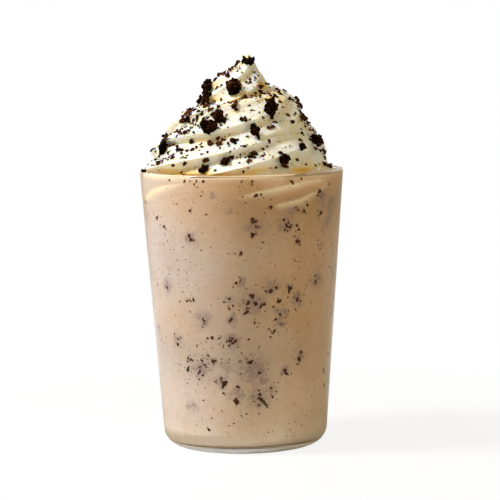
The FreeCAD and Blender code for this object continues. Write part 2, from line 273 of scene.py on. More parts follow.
# %% [markdown]
# ## The table
# The floor is white. Close to the glass it is partly a real matt surface, so a faint shadow
# falls on it, and further out it is plain white, so that no edge shows against the world.
# Its mirror image in the glass would wash the drink out, so that is kept dim.
# %% Floor
FLOOR_HALF, FLOOR_WHITE = 4.0, (0.96, 0.96, 0.96, 1)
SHADOW_SHARE, SHADOW_START, SHADOW_END = 0.14, 0.08, 0.26
MIRROR_FAR, MIRROR_NEAR = 0.3, -0.02    # between these the mirror image turns dim


def floor_material():
    """White, with a share of matt surface that fades out away from the glass."""
    material = bpy.data.materials.new("floor_white")
    material.use_nodes = True
    tree = material.node_tree
    tree.nodes.clear()
    place = object_place(tree)
    fade = remap(
        tree, vector_math(tree, "LENGTH", place), SHADOW_START, SHADOW_END, 1 - SHADOW_SHARE,
        interpolation_type="SMOOTHSTEP",
    )
    matt = node(tree, "ShaderNodeBsdfDiffuse", Color=FLOOR_WHITE)
    glow = node(tree, "ShaderNodeEmission")
    straight = node(tree, "ShaderNodeMixShader", fade * seen_straight(tree), matt, glow)
    path = node(tree, "ShaderNodeLightPath").outputs
    mirrored = (Field(path["Is Glossy Ray"]) - path["Is Transmission Ray"]).math("MAXIMUM", 0.0)
    side = node(tree, "ShaderNodeSeparateXYZ", place).outputs["Y"]
    dim = node(tree, "ShaderNodeEmission", AMBIENT_COLOUR, AMBIENT)
    share = mirrored * remap(tree, side, MIRROR_FAR, MIRROR_NEAR)
    node(
        tree, "ShaderNodeOutputMaterial",
        Surface=node(tree, "ShaderNodeMixShader", share, straight, dim),
    )
    return material


corners = [(-1, -1), (1, -1), (1, 1), (-1, 1)]
floor_mesh = bpy.data.meshes.new("floor")
floor_mesh.from_pydata([(x * FLOOR_HALF, y * FLOOR_HALF, 0) for x, y in corners], [], [(0, 1, 2, 3)])
floor_mesh.materials.append(floor_material())
floor = put("floor", floor_mesh)
print("floor is", 2 * FLOOR_HALF, "m wide")

# %% [markdown]
# ## Running a tree on a mesh
# A Geometry Nodes tree is a recipe that makes or changes a mesh. `new_tree` starts one with
# named inputs, and `grow` runs it once and keeps the result as a plain mesh.
# %% Start and run a tree
NUMBER, WHOLE, COLOUR = "NodeSocketFloat", "NodeSocketInt", "NodeSocketColor"
MESH, MATERIAL = "NodeSocketGeometry", "NodeSocketMaterial"


def new_tree(name, inputs):
    """A Geometry Nodes tree with a mesh input, the named inputs and a mesh output."""
    tree = bpy.data.node_groups.new(name, "GeometryNodeTree")
    inputs = {"Mesh": MESH, **inputs}
    for title, kind in inputs.items():
        tree.interface.new_socket(title, in_out="INPUT", socket_type=kind)
    tree.interface.new_socket("Mesh", in_out="OUTPUT", socket_type=MESH)
    given = node(tree, "NodeGroupInput").outputs
    return tree, {title: Field(given[title]) for title in inputs}, node(tree, "NodeGroupOutput")


def baked(thing, modifier):
    """Run a modifier once, remove it, and keep the result as the thing's plain mesh."""
    graph = bpy.context.evaluated_depsgraph_get()
    plain = bpy.data.meshes.new_from_object(
        thing.evaluated_get(graph), preserve_all_data_layers=True, depsgraph=graph
    )
    thing.modifiers.remove(modifier)
    thing.data = plain
    plain.name = thing.name
    return plain


def grow(name, tree, values, mesh=None):
    """Run a tree with these input values and return the result as a plain object."""
    thing = put(name, mesh or bpy.data.meshes.new(name))
    modifier = thing.modifiers.new(tree.name, "NODES")
    modifier.node_group = tree
    sockets = {s.name: s.identifier for s in tree.interface.items_tree if s.in_out == "INPUT"}
    for title, value in values.items():
        modifier[sockets[title]] = value
    plain = baked(thing, modifier)
    print(f"{name}: {len(plain.vertices)} vertices, {len(plain.polygons)} faces")
    return thing


# %% [markdown]
# ## Two effects that several finishes share
# Broken cookie is the same stuff in every size, from big pieces down to dust: a fine, dry,
# pitted crumb, nearly black, with brown on its raised grains, partly its own colour and
# partly a painted highlight, and its pits darkened as painted shade. Milky food also has soft
# patches of a second colour. Each effect is a node group with named inputs.
# %% Shader groups
BROWN_STEP, PATCH_STEP = (0.58, 0.72), (0.38, 0.66)   # where brown and patches set in
BATCH_SCALE, PIT_SCALE, PIT_DEPTH = 0.16, 1.4, 0.6    # against the grains' own


def shader_group(name, inputs, outputs):
    """A shader node group with named inputs, which have values, and named outputs."""
    tree = bpy.data.node_groups.new(name, "ShaderNodeTree")
    for title, value in inputs.items():
        kind = NUMBER if isinstance(value, float) else COLOUR
        tree.interface.new_socket(title, in_out="INPUT", socket_type=kind).default_value = value
    for title, kind in outputs.items():
        tree.interface.new_socket(title, in_out="OUTPUT", socket_type=kind)
    given = node(tree, "NodeGroupInput").outputs
    return tree, {title: Field(given[title]) for title in inputs}, node(tree, "NodeGroupOutput")


def make_crumb_grain():
    """Dry cookie crumb: grains and pits, with brown on the high spots, partly its own colour and
    partly a painted highlight, and the pits darkened as painted shade.
    """
    tree, given, result = shader_group(
        "crumb_grain",
        {
            "Dark": (0.004, 0.0012, 0.0004, 1), "Brown": (0.125, 0.042, 0.015, 1),
            "Grain size": 0.7 * MM, "Brown share": 0.35,
        },
        {"Color": COLOUR, "Roughness": NUMBER, "Height": NUMBER},
    )
    place = object_place(tree)
    scale = given["Grain size"] ** -1.0
    rise = Field(
        node(tree, "ShaderNodeTexNoise", Vector=place, Scale=scale, Detail=5.0, Roughness=0.65)
    )
    pits = Field(node(tree, "ShaderNodeTexVoronoi", Vector=place, Scale=scale * PIT_SCALE))
    batch = Field(node(tree, "ShaderNodeTexNoise", Vector=place, Scale=scale * BATCH_SCALE))
    # brown on the raised grains: partly the crumb's own colour, partly a painted highlight
    high = smooth(*BROWN_STEP, rise + (given["Brown share"] * 0.2 + (batch - 0.5) * 0.5))
    shade = colour_mix(tree, high, given["Dark"], given["Brown"])
    # painted shade: the pits are darkened
    pit_shade = remap(tree, pits, 0.05, 0.45, 0.35, 1.0)
    feed(
        result, Color=colour_mix(tree, 1.0, shade, pit_shade, "MULTIPLY"),
        Roughness=remap(tree, rise, 0.3, 0.7, 0.95, 0.70), Height=rise + pits * PIT_DEPTH,
    )
    return tree


def make_soft_patches():
    """Slow patches of a second colour, as in milk that isn't quite blended."""
    tree, given, result = shader_group(
        "soft_patches",
        {"Main": WHITE, "Patch": WHITE, "Patch size": 20 * MM, "Amount": 0.5},
        {"Color": COLOUR},
    )
    cloud = Field(node(
        tree, "ShaderNodeTexNoise", Vector=object_place(tree), Scale=given["Patch size"] ** -1.0,
        Detail=3.0, Distortion=0.6,
    ))
    mask = smooth(*PATCH_STEP, cloud) * given["Amount"]
    feed(result, Color=colour_mix(tree, mask, given["Main"], given["Patch"]))
    return tree


crumb_grain = make_crumb_grain()
soft_patches = make_soft_patches()
print("groups:", crumb_grain.name, soft_patches.name)

# %% Writing a material
def new_material(name, **values):
    """A material with a Principled shader and that shader's plain values."""
    material = bpy.data.materials.new(name)
    material.use_nodes = True
    tree = material.node_tree
    return material, tree, feed(tree.nodes["Principled BSDF"], **values)


def patches_of(tree, main, patch, size, amount):
    """A main colour with soft patches of another."""
    return node(
        tree, "ShaderNodeGroup", node_tree=soft_patches, Main=main, Patch=patch, Patch_size=size,
        Amount=amount,
    )


def cloud_of(tree, size, **values):
    """Noise with cells of one size."""
    return Field(node(tree, "ShaderNodeTexNoise", Vector=object_place(tree), Scale=1 / size, **values))


def bump(tree, shader, height, strength, distance):
    """Let a height raise the shader's surface a little."""
    raised = node(tree, "ShaderNodeBump", Height=height, Strength=strength, Distance=distance)
    feed(shader, Normal=raised)


def attribute(tree, name):
    """A number stored on the mesh's points."""
    return Field(node(tree, "ShaderNodeAttribute", attribute_name=name).outputs["Fac"])


def mixed_in(tree, colour, layers):
    """Mix further colours in by painted values: (attribute, greatest share, colour)."""
    for name, share, shade in layers:
        colour = colour_mix(tree, attribute(tree, name) * share, colour, shade)
    return colour


def cookie_material(name, specular, roughness_bump, **grain):
    """Broken cookie of one grain size."""
    material, tree, shader = new_material(name, Specular_IOR_Level=specular)
    crumb = node(tree, "ShaderNodeGroup", node_tree=crumb_grain, **grain).outputs
    feed(shader, Base_Color=crumb["Color"], Roughness=crumb["Roughness"])
    bump(tree, shader, crumb["Height"], roughness_bump, grain["Grain_size"] * 0.5)
    return material


# %% [markdown]
# ## The tumbler
# It is pressed glass: a straight taper, a rounded heel, a thick base that is slightly hollow
# underneath, and a fire-polished lip. All of it is round, so its outline is turned about the
# axis. The outline's corners get true arcs first, because glass shows every facet.
# %% Turning an outline
def rounded_outline(points, radii, steps=10):
    """Replace each corner of a (radius, height) outline by an arc of its own radius."""
    made = []
    for index, (point, radius) in enumerate(zip(points, radii)):
        here = Vector(point)
        if radius == 0:
            made.append(here)
            continue
        before = (Vector(points[index - 1]) - here).normalized()
        after = (Vector(points[index + 1]) - here).normalized()
        half = before.angle(after) / 2
        middle = here + (before + after).normalized() * (radius / math.sin(half))
        reach = radius / math.tan(half)
        start, end = here + before * reach - middle, here + after * reach - middle
        turn = start.angle_signed(end)
        for step in range(steps + 1):
            made.append(middle + Matrix.Rotation(-turn * step / steps, 2) @ start)
    return made


def turned(name, outline, segments):
    """Turn an outline about Z. It runs from the axis under the piece, outwards, up and back
    to the axis, so the faces point outwards. Points on the axis become a single vertex."""
    vertices, rings, faces = [], [], []
    for radius, height in outline:
        if radius < 1e-9:
            rings.append([len(vertices)])
            vertices.append((0.0, 0.0, height))
            continue
        rings.append(range(len(vertices), len(vertices) + segments))
        for k in range(segments):
            angle = TURN * k / segments
            vertices.append((radius * math.cos(angle), radius * math.sin(angle), height))
    for low, high in zip(rings, rings[1:]):
        for k in range(segments):
            a, b = low[k % len(low)], low[(k + 1) % segments % len(low)]
            c, d = high[(k + 1) % segments % len(high)], high[k % len(high)]
            faces.append(tuple(dict.fromkeys((a, b, c, d))))
    mesh = bpy.data.meshes.new(name)
    mesh.from_pydata(vertices, [], faces)
    mesh.shade_smooth()
    print(f"{name}: {len(vertices)} vertices, {len(faces)} faces")
    return put(name, mesh)


# %% The glass
GLASS_SEGMENTS = 256
PUNT_SOFTENING = 2.0 * MM

glass_outline = rounded_outline(
    [
        (0, PUNT),
        (FOOT_RADIUS - HEEL - RING_WIDTH, 0),
        (FOOT_RADIUS, 0),
        (RIM_RADIUS, GLASS_HEIGHT),
        (RIM_RADIUS - WALL, GLASS_HEIGHT),
        (outer_radius(BASE) - WALL, BASE),
        (0, BASE),
    ],
    [0, PUNT_SOFTENING, HEEL, LIP, LIP, INNER_HEEL, 0],
)
glass = turned("tumbler", glass_outline, GLASS_SEGMENTS)

# %% [markdown]
# Clear glass bends light at an index of 1.5. Lamps could hardly reach the drink through it,
# because a path tracer finds such light only by chance, so for shadow rays alone the glass
# is swapped for a nearly clear transparent shader. The thick foot gathers so much light from
# the table that it looks pale and cloudy, so it has a finish of its own.
# %% Glass finish
FOOT_TOP, BENDING = 3.0 * MM, 1.5
SHADOW_TINT = (0.96, 0.965, 0.96, 1)
GLASS_FINISHES = [
    # name, colour, roughness, share of light let through
    ("clear_glass", (0.985, 0.99, 0.985, 1), 0.0, 1.0),
    ("glass_foot", (0.86, 0.85, 0.80, 1), 0.2, 0.45),
]


def glass_material(name, colour, roughness, through):
    material, tree, shader = new_material(
        name, Base_Color=colour, Roughness=roughness, IOR=BENDING, Transmission_Weight=through
    )
    shadow = node(tree, "ShaderNodeLightPath").outputs["Is Shadow Ray"]
    clear = node(tree, "ShaderNodeBsdfTransparent", SHADOW_TINT)
    whole = node(tree, "ShaderNodeMixShader", shadow, shader, clear)
    feed(tree.nodes["Material Output"], Surface=whole)
    return material


for finish in GLASS_FINISHES:
    glass.data.materials.append(glass_material(*finish))
for face in glass.data.polygons:
    face.material_index = int(face.center.z < FOOT_TOP)
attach(glass, "root")
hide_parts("glass")
print("the glass rides on root")

# %% [markdown]
# ## The drink
# Seen through glass, a drink has no gap in front of it: it wets the wall. So its side lies a
# tenth of a millimetre inside the glass wall. Its mesh is fine enough to carry painted
# values: smears of cream near the rim, and grey smudges where cookie lies under the milk.
# %% The drink's body
WETTING, FLOOR_GAP = 0.1 * MM, 0.06 * MM
DRINK_SEGMENTS, DRINK_CELL = 400, 0.62 * MM
MENISCUS_WIDTH, MENISCUS_RISE = 0.9 * MM, 0.5 * MM
MENISCUS = [(0.35, 0.45), (0.7, 0.12), (1.0, 0.0)]      # shares of its width and its rise
SINK_EDGE = 3 * MM


def drink_radius(height):
    """Radius of the drink's side at a height."""
    return outer_radius(height) - WALL + WETTING


heel_arc = rounded_outline(
    [(0, BASE + FLOOR_GAP), (drink_radius(BASE), BASE + FLOOR_GAP), (drink_radius(LEVEL), LEVEL)],
    [0, INNER_HEEL - FLOOR_GAP, 0],
    steps=16,
)[:-1]
side_start = heel_arc[-1][1]
side_height = LEVEL + MENISCUS_RISE - side_start
side_rows = round(side_height / DRINK_CELL)
side_heights = [side_start + side_height * row / side_rows for row in range(1, side_rows + 1)]
edge = drink_radius(LEVEL)
top = [(edge - MENISCUS_WIDTH * wide, LEVEL + MENISCUS_RISE * high) for wide, high in MENISCUS]
top += [(SINK_TOP + SINK_EDGE, LEVEL), (SINK_TOP, LEVEL)]
top += [(SINK_BOTTOM, LEVEL - SINK_DEPTH), (0, LEVEL - SINK_DEPTH)]
side = [(drink_radius(height), height) for height in side_heights]
drink = turned("blended_drink", heel_arc + side + top, DRINK_SEGMENTS)

# %% [markdown]
# ### Cookie in the drink
# The blender leaves bits of cookie of one to two millimetres, in loose groups, and a great
# many brown specks. Those that touch the glass are sharp. Those a little deeper only show as
# grey smudges. Each front bit below is (degrees round the glass, height in mm, size in mm),
# and so is each smudge. Those at the back are made by chance.
# %% Where the bits lie
FRONT_BITS = [
    (225, 114.6, 1.5), (236, 114.6, 1.1), (240, 114.6, 1.1), (244, 114.6, 1.1), (248, 114.6, 0.8),
    (270, 114.6, 1.5), (276, 114.6, 1.1), (239, 102.8, 1.1), (210, 98.4, 1.5), (221, 97.8, 0.8),
    (217, 95.2, 1.1), (237, 91.9, 1.5), (238, 90.6, 1.3), (240, 90.3, 0.8), (276, 98.5, 1.9),
    (278, 95.9, 1.1), (278, 94.2, 0.8), (276, 92.7, 2.1), (282, 89.6, 1.1), (269, 85.1, 1.7),
    (262, 84.8, 0.8), (300, 113.3, 1.5), (306, 114.6, 1.1), (322, 114, 0.8), (278, 108.7, 1.9),
    (287, 103.9, 2.1), (270, 108.2, 0.8), (321, 108.9, 2.3), (319, 107.4, 1.3), (330, 111.5, 1.1),
    (311, 103.7, 1.3), (309, 101.2, 1.3), (303, 103.1, 1.1), (300, 102.7, 0.8), (323, 99.9, 2.1),
    (321, 98.8, 1.3), (295, 98.3, 1.3), (297, 95.6, 1.7), (296, 94.3, 1.1), (304, 95.8, 1.5),
    (299, 95, 1.1), (305, 89, 1.9), (326, 94, 1.1), (324, 84.7, 1.3), (341, 74.6, 1.1),
    (303, 81.4, 0.8), (268, 73.7, 1.3), (264, 71.1, 0.8), (280, 79.2, 0.6), (287, 69.1, 1.9),
    (291, 70.5, 1.3), (285, 68.4, 0.8), (300, 69.6, 2.5), (299, 68.5, 1.5), (321, 73.9, 1.5),
    (321, 71.4, 1.5), (324, 72.7, 0.8), (293, 64.7, 1.3), (306, 64.5, 1.9), (303, 65.7, 1.1),
    (305, 60.6, 1.1), (298, 60.6, 0.8), (276, 67.3, 1.9), (273, 64.3, 1.9), (272, 60.7, 2.1),
    (273, 62.2, 1.3), (278, 64.2, 1.7), (283, 63.7, 1.5), (281, 62.8, 1.1), (290, 57, 1.5),
    (286, 53.4, 1.1), (277, 56.1, 1.1), (294, 54.7, 1.1), (237, 65.6, 1.5), (261, 66.3, 1.3),
    (261, 62.1, 1.1), (262, 57.6, 1.7), (261, 56, 0.8), (244, 57.3, 1.3), (244, 55.7, 1.3),
    (249, 49.9, 1.3), (222, 48.3, 1.1), (221, 46.1, 1.3), (261, 49, 1.9), (264, 48.4, 1.9),
    (263, 48, 1.5), (260, 46.6, 1.1), (230, 40.6, 1.7), (232, 40.3, 1.1), (229, 35.5, 1.5),
    (230, 36.7, 0.8), (241, 39.8, 1.7), (239, 35.6, 1.3), (242, 34.6, 1.1), (249, 40.1, 1.7),
    (260, 40.9, 0.8), (274, 39.7, 1.7), (272, 39.6, 1.1), (310, 42.2, 1.5), (309, 39.3, 1.9),
    (308, 40.3, 1.1), (298, 35.4, 2.1), (299, 34, 1.3), (267, 34.6, 1.1), (254, 32.9, 1.5),
    (256, 30.6, 2.3), (255, 31.3, 1.3), (265, 29.5, 1.7), (255, 26.6, 1.3), (264, 23.2, 2.1),
    (264, 24.6, 1.1), (280, 25.9, 1.3), (281, 23.8, 1.5), (284, 21.8, 1.7), (282, 22.7, 1.1),
    (288, 28.5, 1.1), (289, 24.5, 1.3), (231, 20.8, 0.8), (271, 18.2, 0.8), (262, 14, 0.8),
    (243, 11.1, 1.1), (267, 17.2, 0.8), (238, 46.2, 0.8), (273, 49.4, 1.1), (203, 70.4, 1.1),
    (215, 69.5, 1.1), (216, 68, 0.6), (200, 46.6, 0.8), (226, 64.4, 0.8), (227, 77.5, 0.8),
    (209, 83.3, 0.8), (275, 51.2, 0.6), (280, 46.4, 0.6), (289, 62.3, 0.8), (295, 57.8, 0.8),
    (292, 61.1, 0.6), (313, 70.3, 0.8), (316, 72.2, 0.8), (309, 92.4, 0.8), (318, 63.7, 0.6),
    (258, 64.9, 0.8), (259, 62.8, 0.6), (253, 32.3, 0.8), (280, 34.9, 1.1), (238, 37.1, 0.8),
    (243, 38.4, 0.6),
]
FRONT_SMUDGES = [
    (254, 109, 2.8), (263, 101.2, 2.1), (238, 91.2, 5.3), (277, 96.3, 6.4), (300, 103.2, 6.4),
    (324, 106.1, 6.4), (331, 96.3, 5.3), (296, 96.1, 5.3), (305, 89, 3.2), (288, 71.1, 6.4),
    (300, 69.6, 3.8), (277, 64.7, 9.6), (322, 72.3, 6.4), (306, 65, 5.3), (262, 57.6, 3.6),
    (244, 57.3, 6.4), (221, 47.9, 5.3), (262, 48.7, 5.3), (240, 37.2, 8.5), (249, 40.1, 3.2),
    (259, 37.2, 5.3), (276, 36.5, 11.7), (282, 32.2, 6.4), (255, 31.3, 5.3), (280, 24.8, 8.5),
    (265, 26.7, 5.3), (288, 27.2, 4.2), (231, 20.3, 4.2), (309, 40.7, 4.2), (298, 35.1, 3.2),
    (294, 59.5, 5.3), (294, 55.8, 4.2), (215, 70.6, 5.3), (196, 51, 4.2), (261, 65.9, 4.2),
    (269, 73.2, 3.2), (325, 86.2, 3.2), (334, 102.4, 6.4),
]


# the groups at the back: height in mm, bits in a group, size in mm
GROUP_HEIGHTS, GROUP_COUNTS, BIT_SIZES = (14, 108), (1, 1, 2, 3, 4, 6), (0.8, 2.1)
LOWEST_BIT, HIGHEST_BIT = 9, 112


def scattered_round(seed, count, first, last, make):
    """Make count items at chance places between two azimuths."""
    chance = random.Random(seed)
    return [make(chance, chance.uniform(first, last)) for _ in range(count)]


def bit_group(chance, azimuth):
    """A loose group of bits and the smudge they lie in."""
    height = chance.uniform(*GROUP_HEIGHTS)
    count = chance.choice(GROUP_COUNTS)
    spread = 1.2 + 1.1 * count
    bits = []
    for _ in range(count):
        aside = chance.gauss(0, spread * 0.8)
        up = chance.gauss(0, spread)
        place = min(max(height + up, LOWEST_BIT), HIGHEST_BIT)
        bits.append((azimuth + aside, place, chance.uniform(*BIT_SIZES)))
    return bits, (azimuth, height, chance.uniform(3.0, 4.0 + 1.2 * count))


back_groups = scattered_round(seed=11, count=62, first=345, last=555, make=bit_group)
drink_bits = FRONT_BITS + [bit for bits, _ in back_groups for bit in bits]
smudges = FRONT_SMUDGES + [smudge for _, smudge in back_groups]
print(len(drink_bits), "bits and", len(smudges), "smudges")

# %% [markdown]
# Values such as a smear's strength are painted on the points of a mesh, and its finish reads
# them back. Distances round the glass are counted the short way from a middle.
# %% Painting on a mesh
def paint(mesh, name, values):
    """Store one number on each point of a mesh."""
    layer = mesh.attributes.new(name, "FLOAT", "POINT")
    layer.data.foreach_set("value", np.asarray(values, dtype=np.float32))


def point_values(mesh, name):
    """The mesh's points or normals, as an array."""
    values = np.empty(len(mesh.vertices) * 3)
    mesh.vertices.foreach_get(name, values)
    return values.reshape(-1, 3)


def round_from(azimuths, middle):
    """How far round from a middle each azimuth lies, in radians. The azimuths are in degrees."""
    return np.radians((azimuths - middle + 180) % 360 - 180)


# %% Smears of cream just under the rim
# Each smear is a line of (degrees, height in mm) and a strength.
SMEARS = [
    ([(192, 104.5), (196, 106.5), (210, 110.3), (223, 112.3), (235, 113.5)], 0.95),
    ([(268, 108.0), (274, 109.1), (284, 110.5), (296, 112.0), (311, 113.6), (330, 114.3)], 0.95),
    ([(290, 104.2), (292, 104.6), (299, 105.3), (307, 106.4), (316, 108.6), (328, 111.5)], 1.0),
    ([(352, 107.0), (8, 109.8), (24, 111.4), (40, 113.2)], 0.6),
    ([(62, 106.0), (76, 108.5), (92, 110.5), (106, 113.2)], 0.7),
    ([(128, 109.5), (142, 111.0), (158, 113.4)], 0.55),
]
SMEAR_HALF, SMEAR_STEPS = 0.95, 70      # half-width in mm, and steps along its line
SMEAR_ABOVE, SMEAR_BELOW = 0.45, 1.5    # shares of that width: it is sharper along the top


def smear_strength(azimuths, heights):
    """How much cream is smeared on the wall at each point, from 0 to 1."""
    total = np.zeros_like(azimuths)
    for line, most in SMEARS:
        knots = np.array(line, float)
        knots[:, 0] = np.degrees(np.unwrap(np.radians(knots[:, 0])))
        along = np.linspace(0, len(knots) - 1, SMEAR_STEPS)
        turns, rises = (np.interp(along, range(len(knots)), column) for column in knots.T)
        for share, turn, rise in zip(along / along[-1], turns, rises):
            aside = round_from(azimuths, turn) * (edge / MM)
            up = heights - rise
            width = SMEAR_HALF * (0.5 + 0.9 * math.sin(math.pi * share))
            width_up = np.where(up > 0, SMEAR_ABOVE * width, SMEAR_BELOW * width)
            near = np.exp(-(aside**2) / width**2 - up**2 / width_up ** 2)
            total = np.maximum(total, most * near * math.sin(math.pi * (0.08 + 0.84 * share)) ** 0.7)
    return total


# %% Painting the drink
SMUDGE_CELL, SMUDGE_STRAY = 2.6 * MM, 2.2       # their edges wander by so many millimetres
SMUDGE_SPREAD, SMUDGE_MOST, SMUDGE_SEED = 0.52, 0.95, 7
BILLOW, LIT_WAY = 34 * MM, (0.92, 0.25)

points = point_values(drink.data, "co")
azimuths = np.degrees(np.arctan2(points[:, 1], points[:, 0]))
heights = points[:, 2] / MM
radii = np.hypot(points[:, 0], points[:, 1])
on_side = radii > drink_radius(points[:, 2]) - 0.3 * MM


def rise_between(low, high):
    """0 at a height of low and 1 at high, in millimetres, for each point of the drink."""
    return np.clip((heights - low) / (high - low), 0, 1)


# vector noise starts from the clock unless it is given a seed
noise.seed_set(SMUDGE_SEED)
stray = np.array([noise.noise_vector(Vector(p) / SMUDGE_CELL) for p in points]) * SMUDGE_STRAY
smudge_field = np.zeros(len(points))
for azimuth, height, width in smudges:
    aside = round_from(azimuths, azimuth) * radii / MM + stray[:, 0]
    away = np.hypot(aside, heights - height + stray[:, 2]) / (SMUDGE_SPREAD * width)
    smudge_field = np.maximum(smudge_field, SMUDGE_MOST * np.exp(-(away**2)) * on_side)

# painted light on the lamp's side and at the foot, painted shade high up on the far side,
# and a painted shadow along the bottom edge; the billow noise gives slow random clouds
billow = np.array([noise.noise(Vector(p) / BILLOW) for p in points])
lit_side = -(LIT_WAY[0] * points[:, 0] + LIT_WAY[1] * points[:, 1]) / edge
shaded = np.clip(1.25 - 1.5 * lit_side, 0, 1)
foot_light = rise_between(42, 28) * np.clip(0.60 - heights / 130, 0.36, 0.48)
level, floor_height = LEVEL / MM, BASE / MM
for name, values in {
    "smudge": smudge_field,
    "smear": smear_strength(azimuths, heights) * on_side,
    # painted light: paler on the side towards the lamp and lower down
    "milky_and_lit": np.clip(0.33 + 0.75 * lit_side - 0.28 * (heights - 45) / 70 + 0.5 * billow, 0, 1),
    # painted light: paler towards the foot
    "foot_light": foot_light + 0.55 * rise_between(14, 6),
    # painted shade: more orange high up on the side away from the lamp
    "upper_shade": rise_between(87, 103) * shaded,
    "top": rise_between(107, 112) * shaded,
    "near_top": rise_between(level - 1.6, level),
    # painted shadow: a dark line along the drink's bottom edge
    "bottom_edge_shadow": rise_between(floor_height + 0.9, floor_height + 0.4),
}.items():
    paint(drink.data, name, values)
print("painted", len(points), "points")

# %% [markdown]
# The milk isn't one flat colour. It is tan, paler in slow clouds, and it carries painted light
# and shade: paler on the side towards the lamp and towards the foot, more orange high up on
# the side away from the lamp, and a painted shadow along its bottom edge. The finish mixes
# those by the painted values and by slow patches of noise. It is matt, because the shine
# belongs to the glass in front.
# %% Drink finish
# the pale colour is painted light on the lamp's side, the foot colour painted light, the upper and top
# colours painted shade, and the edge colour a painted shadow
DRINK_TAN, DRINK_PALE_LIT = (0.705, 0.487, 0.277, 1), (0.62, 0.515, 0.43, 1)
DRINK_FOOT_LIGHT, DRINK_UPPER_SHADE = (0.94, 0.78, 0.61, 1), (0.60, 0.37, 0.175, 1)
DRINK_TOP_SHADE, DRINK_EDGE_SHADOW = (0.76, 0.47, 0.235, 1), (0.22, 0.115, 0.045, 1)
DRINK_SMEAR, DRINK_SMUDGE = (0.95, 0.80, 0.50, 1), (0.24, 0.165, 0.175, 1)
SMUDGE_SHARE, UNEVEN_SIZE = 0.62, 1.3 * MM
DRINK_PATCHES = [
    # colour, size, amount
    ((0.96, 0.90, 0.82, 1), 11 * MM, 0.6),
    ((0.93, 0.92, 0.90, 1), 1.6 * MM, 0.9),
]


def drink_material():
    material, tree, shader = new_material("blended_milk", Roughness=0.6, Specular_IOR_Level=0.0)
    # painted light on the lamp's side and at the foot, painted shade high up on the far side
    colour = mixed_in(tree, DRINK_TAN, [
        ("milky_and_lit", 1.0, DRINK_PALE_LIT), ("foot_light", 0.85, DRINK_FOOT_LIGHT),
        ("upper_shade", 0.8, DRINK_UPPER_SHADE), ("top", 0.8, DRINK_TOP_SHADE),
    ])
    for patch in DRINK_PATCHES:
        colour = colour_mix(tree, 1.0, colour, patches_of(tree, WHITE, *patch), "MULTIPLY")
    uneven = cloud_of(tree, UNEVEN_SIZE)
    smudge = between(attribute(tree, "smudge") * (uneven * 3.0 - 0.5), 0.0, 1.0)
    colour = colour_mix(tree, smudge * SMUDGE_SHARE, colour, DRINK_SMUDGE)
    # the bottom edge's colour is a painted shadow
    colour = mixed_in(tree, colour, [
        ("smear", 1.0, DRINK_SMEAR), ("near_top", 0.45, DRINK_SMEAR), ("bottom_edge_shadow", 0.9, DRINK_EDGE_SHADOW),
    ])
    feed(shader, Base_Color=colour)
    bump(tree, shader, uneven, 0.08, 0.2 * MM)
    return material


drink.data.materials.append(drink_material())
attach(drink, "root")
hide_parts("frappe")
print("the drink rides on root")

# %% [markdown]
# ## Lumps on places
# Bits, crumbs, grit and dust are all the same shape at different sizes: an uneven lump. One
# recipe makes them. It puts a low ball on every place, turns and stretches it by chance, and
# then moves its corners by noise. At last the corners gather towards the middles of small
# cells, which breaks the ball into grains, so that no two are alike.
# %% The lump recipe
LUMP_INPUTS = {
    "Lift": NUMBER, "Flatness": NUMBER, "Unevenness": NUMBER, "Noise size": NUMBER,
    "Cell size": NUMBER, "Gathering": NUMBER, "Facets": WHOLE, "Seed": WHOLE, "Finish": MATERIAL,
}
LEAST_STRETCH, MOST_STRETCH = (0.70, 0.50, 0.60), (1.45, 1.0, 1.1)


def chance_value(tree, seed, low, high, kind="FLOAT"):
    """A random value for each point."""
    return node(tree, "FunctionNodeRandomValue", data_type=kind, Min=low, Max=high, Seed=seed)


def moved(tree, geometry, **how):
    """A geometry with its points moved to a Position or by an Offset."""
    return node(tree, "GeometryNodeSetPosition", Geometry=geometry, **how)


def lumps(tree, given, places, size, facing):
    """An uneven lump on each place, of that size and lying the way it faces."""
    lift = scaled(tree, facing, size * given["Lift"])
    lie = node(tree, "FunctionNodeAlignRotationToVector", axis="Z", Vector=facing)
    spin = node(tree, "ShaderNodeCombineXYZ", Z=chance_value(tree, given["Seed"], 0.0, TURN))
    stretch = chance_value(tree, given["Seed"], LEAST_STRETCH, MOST_STRETCH, "FLOAT_VECTOR")
    squash = node(tree, "ShaderNodeCombineXYZ", 1.0, 1.0, given["Flatness"])
    shape = vector_math(tree, "MULTIPLY", stretch, squash)
    instances = node(
        tree, "GeometryNodeInstanceOnPoints", Points=moved(tree, places, Offset=lift),
        Instance=node(tree, "GeometryNodeMeshIcoSphere", Radius=0.5, Subdivisions=given["Facets"]),
        Rotation=node(
            tree, "FunctionNodeRotateRotation", rotation_space="LOCAL", Rotation=lie, Rotate_By=spin
        ),
        Scale=scaled(tree, shape, size),
    )
    solid = node(tree, "GeometryNodeRealizeInstances", Geometry=instances)
    cloud = node(tree, "ShaderNodeTexNoise", Scale=given["Noise size"] ** -1.0, Detail=3.0)
    centred = vector_math(tree, "SUBTRACT", cloud.outputs[1], (0.5, 0.5, 0.5))
    shift = scaled(tree, centred, given["Unevenness"])
    # a flat lump is uneven sideways, and hardly outwards
    outwards = Field(vector_math(tree, "DOT_PRODUCT", shift, facing))
    kept = scaled(tree, facing, outwards * (given["Flatness"] - 1.0))
    rough = moved(tree, solid, Offset=vector_math(tree, "ADD", shift, kept))
    cells = node(tree, "ShaderNodeTexVoronoi", Scale=given["Cell size"] ** -1.0)
    here = node(tree, "GeometryNodeInputPosition")
    towards = vector_math(tree, "SUBTRACT", cells.outputs["Position"], here)
    grainy = moved(tree, rough, Offset=scaled(tree, towards, given["Gathering"]))
    return node(tree, "GeometryNodeSetMaterial", Geometry=grainy, Material=given["Finish"])


